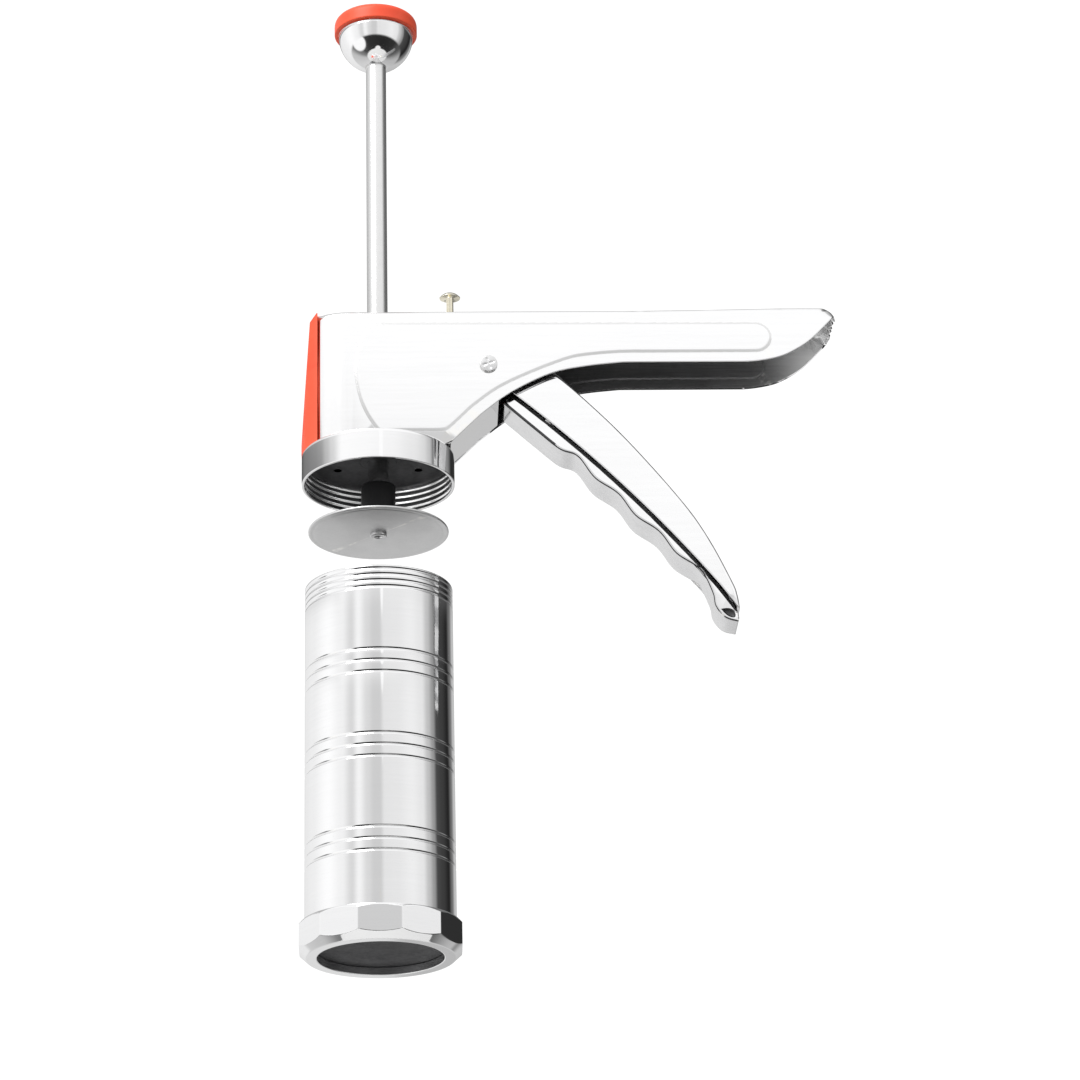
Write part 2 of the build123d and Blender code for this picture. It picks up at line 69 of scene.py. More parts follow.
class Body(Enum):
    """The moving bodies of the press."""

    HEAD = "head"
    TRIGGER = "trigger"
    DRIVE = "drive"
    LOCK = "lock"
    RELEASE = "release"
    PLUNGER = "plunger"
    BARREL = "barrel"
    DIE_STACK = "die_stack"
    CAP = "cap"


class Lay(Enum):
    """Direction that the polishing or grinding marks of a metal follow."""

    ALONG_X = (0.04, 1.0, 1.0)
    ALONG_Z = (1.0, 1.0, 0.04)
    ROUND_AXIS = (0.05, 0.05, 1.6)
    NONE = (1.0, 1.0, 1.0)


# ---- outlines -----------------------------------------------------------------------------
def arc_points(centre: Point, radius: float, start: float, end: float, steps: int) -> Outline:
    """Points along a circular arc.

    Args:
        centre: Centre of the arc.
        radius: Its radius.
        start: First angle, in degrees.
        end: Last angle, in degrees.
        steps: Number of spans.

    Returns:
        The points, both ends included.
    """
    angles = [math.radians(start + (end - start) * i / steps) for i in range(steps + 1)]
    return [(centre[0] + radius * math.cos(a), centre[1] + radius * math.sin(a)) for a in angles]


def smooth_through(points: Sequence[Point], steps: int) -> Outline:
    """Smooth open curve through given points.

    Args:
        points: The points it passes through.
        steps: Spans between each two of them.

    Returns:
        The curve's points.
    """
    padded = [points[0], *points, points[-1]]
    curve: Outline = []
    for a, b, c, d in zip(padded, padded[1:], padded[2:], padded[3:]):
        for i in range(steps):
            t = i / steps
            weights = (
                -0.5 * t + t * t - 0.5 * t ** 3,
                1 - 2.5 * t * t + 1.5 * t ** 3,
                0.5 * t + 2 * t * t - 1.5 * t ** 3,
                -0.5 * t * t + 0.5 * t ** 3,
            )
            curve.append(tuple(sum(w * p[k] for w, p in zip(weights, (a, b, c, d))) for k in (0, 1)))
    curve.append(tuple(points[-1]))
    return curve


def millimetres(points: Sequence[Point]) -> Outline:
    """The same points, taken from millimetres to metres."""
    return [(x * MM, z * MM) for x, z in points]


def round_corner(before: Point, corner: Point, after: Point, radius: float, steps: int) -> Outline:
    """A corner of an outline, rounded, with a support point just outside each end of the round.

    Args:
        before: Point before the corner.
        corner: The corner itself.
        after: Point after the corner.
        radius: Distance from the corner at which the round begins.
        steps: Spans of the round.

    Returns:
        The points that replace the corner.
    """
    c = Vector(corner)
    first = (Vector(before) - c).normalized()
    last = (Vector(after) - c).normalized()
    start = c + first * radius
    end = c + last * radius
    support = radius * 0.35
    points = [tuple(start + first * support)]
    for i in range(steps + 1):
        t = i / steps
        points.append(tuple((1 - t) ** 2 * start + 2 * t * (1 - t) * c + t * t * end))
    points.append(tuple(end + last * support))
    return points


def turned_outline(corners: Sequence[tuple[float, float, float]], closed: bool, steps: int = 4) -> Outline:
    """Outline of a turned part with each corner rounded.

    Args:
        corners: Radius, height and rounding of each corner, in order.
        closed: Whether the outline runs back to its first corner.
        steps: Spans in each round.

    Returns:
        The outline's points, with the first repeated at the end when it is closed.
    """
    points: Outline = []
    count = len(corners)
    for i, (r, z, rounding) in enumerate(corners):
        end_point = not closed and i in (0, count - 1)
        if end_point or rounding == 0:
            points.append((r, z))
            continue
        before = corners[(i - 1) % count][:2]
        after = corners[(i + 1) % count][:2]
        points += round_corner(before, (r, z), after, rounding, steps)
    if closed:
        points.append(points[0])
    return points


def with_rows(points: Outline, low: float, high: float, step: float) -> Outline:
    """Adds rows to the rising stretches of an outline, so that they take a thread or flats.

    Args:
        points: The outline.
        low: Lowest height that gets rows.
        high: Highest height that gets rows.
        step: Distance between rows.

    Returns:
        The outline with its rows.
    """
    dense: Outline = []
    for (r0, z0), (r1, z1) in zip(points, points[1:]):
        dense.append((r0, z0))
        if abs(z1 - z0) < 2 * step:
            continue
        count = int(abs(z1 - z0) / step)
        for i in range(1, count):
            z = z0 + (z1 - z0) * i / count
            if low - step <= z <= high + step:
                dense.append((r0 + (r1 - r0) * i / count, z))
    dense.append(points[-1])
    return dense


# ---- meshes -------------------------------------------------------------------------------
def plain_object(name: str, mesh: bpy.types.Mesh) -> bpy.types.Object:
    """Puts a mesh in the scene as an object at the origin.

    Args:
        name: Name of the object.
        mesh: Its mesh.

    Returns:
        The object.
    """
    piece = bpy.data.objects.new(name, mesh)
    bpy.context.scene.collection.objects.link(piece)
    return piece


def apply_modifiers(piece: bpy.types.Object) -> bpy.types.Object:
    """Turns a piece's live modifiers into its plain mesh.

    Args:
        piece: The piece.

    Returns:
        The same piece, without modifiers.
    """
    bpy.context.view_layer.update()
    evaluated = piece.evaluated_get(bpy.context.evaluated_depsgraph_get())
    mesh = bpy.data.meshes.new_from_object(evaluated)
    piece.modifiers.clear()
    piece.data = mesh
    mesh.name = piece.name
    return piece


def outward(piece: bpy.types.Object) -> bpy.types.Object:
    """Merges doubled points and turns every face outwards.

    Args:
        piece: The piece.

    Returns:
        The same piece.
    """
    shell = bmesh.new()
    shell.from_mesh(piece.data)
    bmesh.ops.remove_doubles(shell, verts=shell.verts, dist=1e-6)
    bmesh.ops.recalc_face_normals(shell, faces=shell.faces)
    shell.to_mesh(piece.data)
    shell.free()
    return piece


def paint(
    piece: bpy.types.Object, materials: Sequence[bpy.types.Material], chooser: Optional[Callable] = None
) -> None:
    """Gives a piece its materials.

    Args:
        piece: The piece.
        materials: Its materials, in slot order.
        chooser: Picks a slot from a face's centre and normal; the first slot without it.
    """
    piece.data.materials.clear()
    for material in materials:
        piece.data.materials.append(material)
    for face in piece.data.polygons:
        face.material_index = chooser(face.center, face.normal) if chooser else 0


def finish_piece(piece: bpy.types.Object, body: Body, nodes: Sequence[str]) -> bpy.types.Object:
    """Puts a piece on its body, in place of its nodes of the frame.

    Args:
        piece: The finished piece.
        body: The body it moves with.
        nodes: The nodes it stands for, which are hidden.

    Returns:
        The same piece.
    """
    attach(piece, body.value)
    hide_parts(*nodes)
    LOG.info("%s: %d faces, rides on %s", piece.name, len(piece.data.polygons), body.value)
    return piece


# ---- geometry node trees ------------------------------------------------------------------
class NodeTree:
    """A geometry node tree under construction, with short calls for its nodes and links."""

    def __init__(self, name: str, inputs: dict[str, str]) -> None:
        """Starts a tree.

        Args:
            name: Name of the tree.
            inputs: Socket type of each named input.
        """
        self.tree = bpy.data.node_groups.new(name, "GeometryNodeTree")
        for label, kind in inputs.items():
            self.tree.interface.new_socket(label, in_out="INPUT", socket_type=kind)
        self.tree.interface.new_socket("Geometry", in_out="OUTPUT", socket_type="NodeSocketGeometry")
        self.source = self.tree.nodes.new("NodeGroupInput")
        self.sink = self.tree.nodes.new("NodeGroupOutput")

    def __getitem__(self, label: str) -> bpy.types.NodeSocket:
        """An input of the tree, by its name."""
        return self.source.outputs[label]

    def add(self, kind: str, inputs: Optional[dict] = None, **settings: object) -> bpy.types.Node:
        """Adds a node.

        Args:
            kind: Blender's name for the node type.
            inputs: Values or sockets for its inputs, by name or number.
            settings: Settings of the node itself.

        Returns:
            The node.
        """
        node = self.tree.nodes.new(kind)
        for label, value in settings.items():
            setattr(node, label, value)
        for label, value in (inputs or {}).items():
            if isinstance(value, bpy.types.NodeSocket):
                self.tree.links.new(value, node.inputs[label])
            else:
                node.inputs[label].default_value = value
        return node

    def math(self, operation: str, *values: object) -> bpy.types.NodeSocket:
        """Result of a math node on up to three values or sockets."""
        node = self.add("ShaderNodeMath", dict(enumerate(values)), operation=operation)
        return node.outputs[0]

    def end(self, geometry: bpy.types.NodeSocket) -> bpy.types.NodeTree:
        """Shades, realizes and paints the result, and closes the tree.

        Args:
            geometry: The socket that carries the finished geometry.

        Returns:
            The finished tree.
        """
        smooth = self.add("GeometryNodeSetShadeSmooth", {"Geometry": geometry})
        real = self.add("GeometryNodeRealizeInstances", {"Geometry": smooth.outputs[0]})
        painted = self.add(
            "GeometryNodeSetMaterial", {"Geometry": real.outputs[0], "Material": self["Material"]}
        )
        self.tree.links.new(painted.outputs[0], self.sink.inputs[0])
        return self.tree


def run_tree(
    piece: bpy.types.Object, tree: bpy.types.NodeTree, values: dict[str, object]
) -> bpy.types.Object:
    """Runs a tree on an object and keeps the result as its plain mesh.

    Args:
        piece: The object that the tree starts from.
        tree: The tree.
        values: Value of each named input.

    Returns:
        The same object, with the new mesh.
    """
    modifier = piece.modifiers.new("build", "NODES")
    modifier.node_group = tree
    sockets = {item.name: item.identifier for item in tree.interface.items_tree if item.in_out == "INPUT"}
    for label, value in values.items():
        modifier[sockets[label]] = value
    return apply_modifiers(piece)


class Trees:
    """The geometry node trees that the press is made with, each built once."""

    def __init__(self) -> None:
        """Builds every tree."""
        self.turned = self._turned("turned_part", faceted=False)
        self.faceted = self._turned("faceted_part", faceted=True)
        self.coil = self._coil()
        self.rivets = self._rivets()

    @staticmethod
    def _turned(name: str, faceted: bool) -> bpy.types.NodeTree:
        """Tree that turns an outline about the axis, cuts flats round it and rolls a thread into one wall.

        Args:
            name: Name of the tree.
            faceted: Whether flats are cut, which also gathers the columns at the corners.

        Returns:
            The tree.
        """
        kinds = {"Geometry": "NodeSocketGeometry", "Segments": "NodeSocketInt", "Facets": "NodeSocketInt"}
        lengths = ["Apothem", "Corner Blend", "Thread Radius", "Thread Low", "Thread High"]
        for label in (*lengths, "Groove", "Pitch", "Depth"):
            kinds[label] = "NodeSocketFloat"
        kinds["Material"] = "NodeSocketMaterial"
        t = NodeTree(name, kinds)
        rows = t.add("GeometryNodeAttributeDomainSize", {"Geometry": t["Geometry"]}).outputs["Point Count"]
        columns = t.math("ADD", t["Segments"], 1)
        grid = t.add(
            "GeometryNodeMeshGrid",
            {"Size X": 1.0, "Size Y": 1.0, "Vertices X": columns, "Vertices Y": rows},
        )
        place = t.add("GeometryNodeInputPosition").outputs[0]
        split = t.add("ShaderNodeSeparateXYZ", {0: place})
        turn = t.math("ADD", split.outputs["X"], 0.5)
        last = t.math("SUBTRACT", rows, 1)
        row = t.math("ROUND", t.math("MULTIPLY", t.math("ADD", split.outputs["Y"], 0.5), last))
        sample = t.add(
            "GeometryNodeSampleIndex",
            {"Geometry": t["Geometry"], "Index": row},
            data_type="FLOAT_VECTOR",
            domain="POINT",
        )
        t.tree.links.new(place, sample.inputs["Value"])
        outline = t.add("ShaderNodeSeparateXYZ", {0: sample.outputs[0]})
        radius, height = outline.outputs["X"], outline.outputs["Z"]
        angle = t.math("MULTIPLY", turn, math.tau)
        if faceted:
            sector = t.math("MULTIPLY", turn, t["Facets"])
            number = t.math("FLOOR", sector)
            inside = t.math("MULTIPLY_ADD", t.math("FRACT", sector), 2.0, -1.0)
            gathered = t.math("SINE", t.math("MULTIPLY", inside, math.pi / 2))
            half = t.math("DIVIDE", math.pi, t["Facets"])
            lean = t.math("MULTIPLY", gathered, half)
            angle = t.math("MULTIPLY_ADD", t.math("MULTIPLY", number, 2.0), half, lean)
            flat = t.math("DIVIDE", t["Apothem"], t.math("COSINE", lean))
            outside = t.math("GREATER_THAN", radius, t.math("MULTIPLY", t["Apothem"], 0.955))
            cut = t.math("SMOOTH_MIN", radius, flat, t["Corner Blend"])
            radius = t.math("ADD", radius, t.math("MULTIPLY", outside, t.math("SUBTRACT", cut, radius)))
        off = t.math("ABSOLUTE", t.math("SUBTRACT", radius, t["Thread Radius"]))
        wall = t.math("LESS_THAN", off, 0.06 * MM)
        rise, fall = (
            t.add(
                "ShaderNodeMapRange",
                {"Value": height, "From Min": t[end], "From Max": t.math(inwards, t[end], 0.5 * MM)},
                interpolation_type="SMOOTHSTEP",
            ).outputs[0]
            for end, inwards in (("Thread Low", "ADD"), ("Thread High", "SUBTRACT"))
        )
        climb = t.math("DIVIDE", t.math("SUBTRACT", height, t["Groove"]), t["Pitch"])
        lead = t.math("SUBTRACT", t.math("ADD", climb, 0.75), t.math("DIVIDE", angle, math.tau))
        wave = t.math("MULTIPLY_ADD", t.math("COSINE", t.math("MULTIPLY", lead, math.tau)), 0.5, 0.5)
        groove = t.math("POWER", wave, 3.0)
        share = t.math("MULTIPLY", t.math("MULTIPLY", rise, fall), t.math("MULTIPLY", wall, groove))
        radius = t.math("SUBTRACT", radius, t.math("MULTIPLY", share, t["Depth"]))
        x = t.math("MULTIPLY", radius, t.math("COSINE", angle))
        y = t.math("MULTIPLY", radius, t.math("SINE", angle))
        spot = t.add("ShaderNodeCombineXYZ", {"X": x, "Y": y, "Z": height}).outputs[0]
        moved = t.add("GeometryNodeSetPosition", {"Geometry": grid.outputs["Mesh"], "Position": spot})
        joined = t.add("GeometryNodeMergeByDistance", {"Geometry": moved.outputs[0], "Distance": 1e-6})
        return t.end(joined.outputs[0])

    @staticmethod
    def _coil() -> bpy.types.NodeTree:
        """Tree that winds a compression spring upwards from the ground.

        Returns:
            The tree.
        """
        kinds = {"Geometry": "NodeSocketGeometry"}
        for label in ("Turns", "Height", "Coil Radius", "Wire Radius"):
            kinds[label] = "NodeSocketFloat"
        kinds |= {"Foot": "NodeSocketVector", "Material": "NodeSocketMaterial"}
        t = NodeTree("coil_spring", kinds)
        spiral = t.add(
            "GeometryNodeCurveSpiral",
            {
                "Resolution": 40,
                "Rotations": t["Turns"],
                "Start Radius": t["Coil Radius"],
                "End Radius": t["Coil Radius"],
                "Height": t["Height"],
            },
        )
        wire = t.add("GeometryNodeCurvePrimitiveCircle", {"Resolution": 14, "Radius": t["Wire Radius"]})
        swept = t.add(
            "GeometryNodeCurveToMesh",
            {"Curve": spiral.outputs[0], "Profile Curve": wire.outputs[0], "Fill Caps": True},
        )
        placed = t.add("GeometryNodeTransform", {"Geometry": swept.outputs[0], "Translation": t["Foot"]})
        return t.end(placed.outputs[0])

    @staticmethod
    def _rivets() -> bpy.types.NodeTree:
        """Tree that sets one rivet, a shank with a domed head, on each point of its geometry.

        Returns:
            The tree.
        """
        kinds = {"Geometry": "NodeSocketGeometry"}
        for label in ("Shank Radius", "Length", "Head Radius"):
            kinds[label] = "NodeSocketFloat"
        kinds |= {"Turn": "NodeSocketVector", "Material": "NodeSocketMaterial"}
        t = NodeTree("rivet_set", kinds)
        shank = t.add(
            "GeometryNodeMeshCylinder", {"Vertices": 28, "Radius": t["Shank Radius"], "Depth": t["Length"]}
        ).outputs["Mesh"]
        dome = t.add("GeometryNodeMeshUVSphere", {"Segments": 28, "Rings": 12, "Radius": t["Head Radius"]})
        squat = t.add("ShaderNodeCombineXYZ", {"X": 1.0, "Y": 1.0, "Z": 0.36}).outputs[0]
        seat = t.add("ShaderNodeCombineXYZ", {"Z": t.math("MULTIPLY", t["Length"], 0.5)}).outputs[0]
        head = t.add(
            "GeometryNodeTransform", {"Geometry": dome.outputs["Mesh"], "Scale": squat, "Translation": seat}
        ).outputs[0]
        rivet = t.add("GeometryNodeJoinGeometry")
        t.tree.links.new(shank, rivet.inputs[0])
        t.tree.links.new(head, rivet.inputs[0])
        points = t.add("GeometryNodeMeshToPoints", {"Mesh": t["Geometry"]}).outputs[0]
        turned = t.add("FunctionNodeEulerToRotation", {0: t["Turn"]}).outputs[0]
        spread = t.add(
            "GeometryNodeInstanceOnPoints",
            {"Points": points, "Instance": rivet.outputs[0], "Rotation": turned},
        )
        return t.end(spread.outputs[0])


@dataclass
class Thread:
    """A rolled thread in one wall of a turned part, with the height of one groove on the left side."""

    radius: float
    low: float
    high: float
    groove: float = 0.0
    pitch: float = 2.2 * MM
    depth: float = 0.4 * MM


class Lathe:
    """Makes turned parts with the geometry node trees."""

    def __init__(self, trees: Trees) -> None:
        """Keeps the trees."""
        self.trees = trees

    def turn(
        self,
        name: str,
        outline: Outline,
        material: bpy.types.Material,
        segments: int = 128,
        thread: Optional[Thread] = None,
        flats: Optional[tuple[int, float, float]] = None,
        rows: Optional[tuple[float, float, float]] = None,
    ) -> bpy.types.Object:
        """Turns an outline about the rod's axis.

        Args:
            name: Name of the piece.
            outline: Radius and height of each point, in order.
            material: Its finish.
            segments: Columns round the axis.
            thread: Thread rolled into one of its walls.
            flats: Number, distance from the axis and corner blend of the flats cut round it.
            rows: Lowest height, highest height and spacing of the rows that the flats need.

        Returns:
            The piece, with its faces outwards.
        """
        if thread:
            outline = with_rows(outline, thread.low, thread.high, thread.pitch / 11)
        if rows:
            outline = with_rows(outline, *rows)
        mesh = bpy.data.meshes.new(name)
        edges = [(i, i + 1) for i in range(len(outline) - 1)]
        mesh.from_pydata([(r, 0.0, z) for r, z in outline], edges, [])
        cut = thread or Thread(radius=-1.0, low=0.0, high=1.0)
        values = {
            "Segments": segments,
            "Thread Radius": cut.radius,
            "Thread Low": cut.low,
            "Thread High": cut.high,
            "Groove": cut.groove,
            "Pitch": cut.pitch,
            "Depth": cut.depth,
            "Material": material,
        }
        tree = self.trees.turned
        if flats:
            tree = self.trees.faceted
            values |= {"Facets": flats[0], "Apothem": flats[1], "Corner Blend": flats[2]}
        return outward(run_tree(plain_object(name, mesh), tree, values))

    def coil(
        self, name: str, node: str, wire_radius: float, turns: float, material: bpy.types.Material
    ) -> bpy.types.Object:
        """Winds a compression spring into the space of a node.

        Args:
            name: Name of the piece.
            node: Node of the frame that it fills.
            wire_radius: Radius of the wire.
            turns: Number of turns.
            material: Its finish.

        Returns:
            The spring.
        """
        low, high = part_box(node)
        middle = (low + high) / 2
        values = {
            "Turns": turns,
            "Height": high.z - low.z - 2.1 * wire_radius,
            "Coil Radius": (high.x - low.x) / 2 - 1.02 * wire_radius,
            "Wire Radius": wire_radius,
            "Foot": (middle.x, middle.y, low.z + 1.05 * wire_radius),
            "Material": material,
        }
        return outward(run_tree(plain_object(name, bpy.data.meshes.new(name)), self.trees.coil, values))

    def rivet_set(
        self,
        name: str,
        places: Sequence[Vector],
        shank: float,
        length: float,
        head: float,
        turn: tuple[float, float, float],
        material: bpy.types.Material,
    ) -> bpy.types.Object:
        """Sets a rivet at each place.

        Args:
            name: Name of the piece.
            places: Middle of each shank.
            shank: Radius of the shank.
            length: Length of the shank.
            head: Radius of the domed head.
            turn: Euler angles that turn a rivet from upright.
            material: Its finish.

        Returns:
            All of the rivets as one piece.
        """
        mesh = bpy.data.meshes.new(name)
        mesh.from_pydata([tuple(p) for p in places], [], [])
        values = {
            "Shank Radius": shank, "Length": length, "Head Radius": head, "Turn": turn, "Material": material,
        }
        return run_tree(plain_object(name, mesh), self.trees.rivets, values)


def pressed_copy(
    name: str,
    node: str,
    edge: float,
    materials: Sequence[bpy.types.Material],
    chooser: Optional[Callable] = None,
) -> bpy.types.Object:
    """Makes a smooth, softly edged piece in the shape of a node.

    Args:
        name: Name of the piece.
        node: Node whose shape it takes.
        edge: Width of the soft edge.
        materials: Its materials.
        chooser: Picks a material for each face from its centre and normal.

    Returns:
        The piece.
    """
    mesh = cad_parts[node].data.copy()
    mesh.name = name
    form = bmesh.new()
    form.from_mesh(mesh)
    bmesh.ops.remove_doubles(form, verts=form.verts, dist=2e-6)
    bmesh.ops.dissolve_limit(form, angle_limit=math.radians(0.4), verts=form.verts, edges=form.edges)
    form.to_mesh(mesh)
    form.free()
    if mesh.has_custom_normals:
        mesh.attributes.remove(mesh.attributes["custom_normal"])
    mesh.polygons.foreach_set("use_smooth", [True] * len(mesh.polygons))
    mesh.set_sharp_from_angle(angle=math.radians(32))
    piece = plain_object(name, mesh)
    if edge:
        bevel = piece.modifiers.new("soft edge", "BEVEL")
        bevel.width = edge
        bevel.segments = 2
        bevel.limit_method = "ANGLE"
        bevel.angle_limit = math.radians(34)
        bevel.miter_outer = "MITER_ARC"
    weigh = piece.modifiers.new("flat faces stay flat", "WEIGHTED_NORMAL")
    weigh.keep_sharp = True
    weigh.weight = 80
    apply_modifiers(piece)
    paint(piece, materials, chooser)
    return piece


def reach(point: Point, line: Sequence[Point]) -> float:
    """Distance from a point to an open line.

    Args:
        point: The point.
        line: Points of the line.

    Returns:
        The shortest distance to it.
    """
    best = math.inf
    px, pz = point
    for (ax, az), (bx, bz) in zip(line, line[1:]):
        dx, dz = bx - ax, bz - az
        span = dx * dx + dz * dz
        t = max(0.0, min(1.0, ((px - ax) * dx + (pz - az) * dz) / span)) if span else 0.0
        best = min(best, math.hypot(px - ax - t * dx, pz - az - t * dz))
    return best


def shifted(line: Sequence[Point], distance: float) -> Outline:
    """A line moved sideways, to the left of its own direction.

    Args:
        line: Points of the line.
        distance: How far it moves.

    Returns:
        The moved line, point for point.
    """
    moved_line: Outline = []
    for i, (x, z) in enumerate(line):
        ax, az = line[max(0, i - 1)]
        bx, bz = line[min(len(line) - 1, i + 1)]
        length = math.hypot(bx - ax, bz - az) or 1.0
        moved_line.append((x - (bz - az) / length * distance, z + (bx - ax) / length * distance))
    return moved_line


def spaced(line: Sequence[Point], step: float) -> Outline:
    """The same line with points at most a step apart.

    Args:
        line: Points of the line.
        step: The longest gap, in the line's units.

    Returns:
        The line with points added.
    """
    dense: Outline = [line[0]]
    for (ax, az), (bx, bz) in zip(line, line[1:]):
        count = max(1, math.ceil(math.hypot(bx - ax, bz - az) / step))
        dense += [(ax + (bx - ax) * i / count, az + (bz - az) * i / count) for i in range(1, count + 1)]
    return dense


def rounding(distance: float, radius: float) -> float:
    """How far a rounded edge has dropped at a distance in from it.

    Args:
        distance: Distance in from the edge.
        radius: Radius of the rounding.

    Returns:
        The drop, which is nothing past the radius.
    """
    if distance >= radius:
        return 0.0
    return radius - math.sqrt(max(0.0, radius * radius - (radius - distance) ** 2))


def ease(value: float) -> float:
    """Smooth step from 0 to 1."""
    t = max(0.0, min(1.0, value))
    return t * t * (3 - 2 * t)


def point_inside(point: Point, loop: Sequence[Point]) -> bool:
    """Whether a point lies inside a closed line.

    Args:
        point: The point.
        loop: The line, with its first point repeated at the end.

    Returns:
        True inside.
    """
    px, pz = point
    inside = False
    for (ax, az), (bx, bz) in zip(loop, loop[1:]):
        if (az > pz) != (bz > pz) and px < (bx - ax) * (pz - az) / (bz - az) + ax:
            inside = not inside
    return inside


def trimmed(line: Sequence[Point], outline: Sequence[Point], least: float) -> Outline:
    """The longest run of a line that lies inside an outline and at least some distance from its edge.

    Args:
        line: The line.
        outline: Closed outline, without its first point repeated.
        least: The least distance.

    Returns:
        The run's points.
    """
    loop = [*outline, outline[0]]
    runs: list[Outline] = [[]]
    for point in line:
        if point_inside(point, loop) and reach(point, loop) >= least:
            runs[-1].append(point)
        elif runs[-1]:
            runs.append([])
    return max(runs, key=len)


def round_cutter(centre: Sequence[float], axis: str, radius: float, length: float) -> bpy.types.Object:
    """Makes the cylinder that cuts a bore.

    Args:
        centre: Its middle, in millimetres.
        axis: "Y" or "Z", the way it runs.
        radius: Its radius.
        length: Its length.

    Returns:
        The cylinder, which is removed once the bore is cut.
    """
    form = bmesh.new()
    bmesh.ops.create_cone(
        form, cap_ends=True, segments=48, radius1=radius * MM, radius2=radius * MM, depth=length * MM
    )
    turn = Matrix.Rotation(math.pi / 2, 4, "X") if axis == "Y" else Matrix.Identity(4)
    form.transform(Matrix.Translation([v * MM for v in centre]) @ turn)
    mesh = bpy.data.meshes.new("cutter")
    form.to_mesh(mesh)
    form.free()
    return plain_object("cutter", mesh)


def arc_through(a: Point, b: Point, c: Point, steps: int) -> Outline:
    """Points along the circular arc that starts at a, passes b and ends at c.

    Args:
        a: Start.
        b: A point on the way.
        c: End.
        steps: Number of steps along it.

    Returns:
        Points from a to c.
    """
    ax, az, bx, bz, cx, cz = *a, *b, *c
    d = 2 * (ax * (bz - cz) + bx * (cz - az) + cx * (az - bz))
    ux = (
        (ax ** 2 + az ** 2) * (bz - cz) + (bx ** 2 + bz ** 2) * (cz - az) + (cx ** 2 + cz ** 2) * (az - bz)
    ) / d
    uz = (
        (ax ** 2 + az ** 2) * (cx - bx) + (bx ** 2 + bz ** 2) * (ax - cx) + (cx ** 2 + cz ** 2) * (bx - ax)
    ) / d
    start = math.degrees(math.atan2(az - uz, ax - ux))
    end = math.degrees(math.atan2(cz - uz, cx - ux))
    if end - start > 180:
        end -= 360
    if end - start < -180:
        end += 360
    return arc_points((ux, uz), math.hypot(ax - ux, az - uz), start, end, steps)


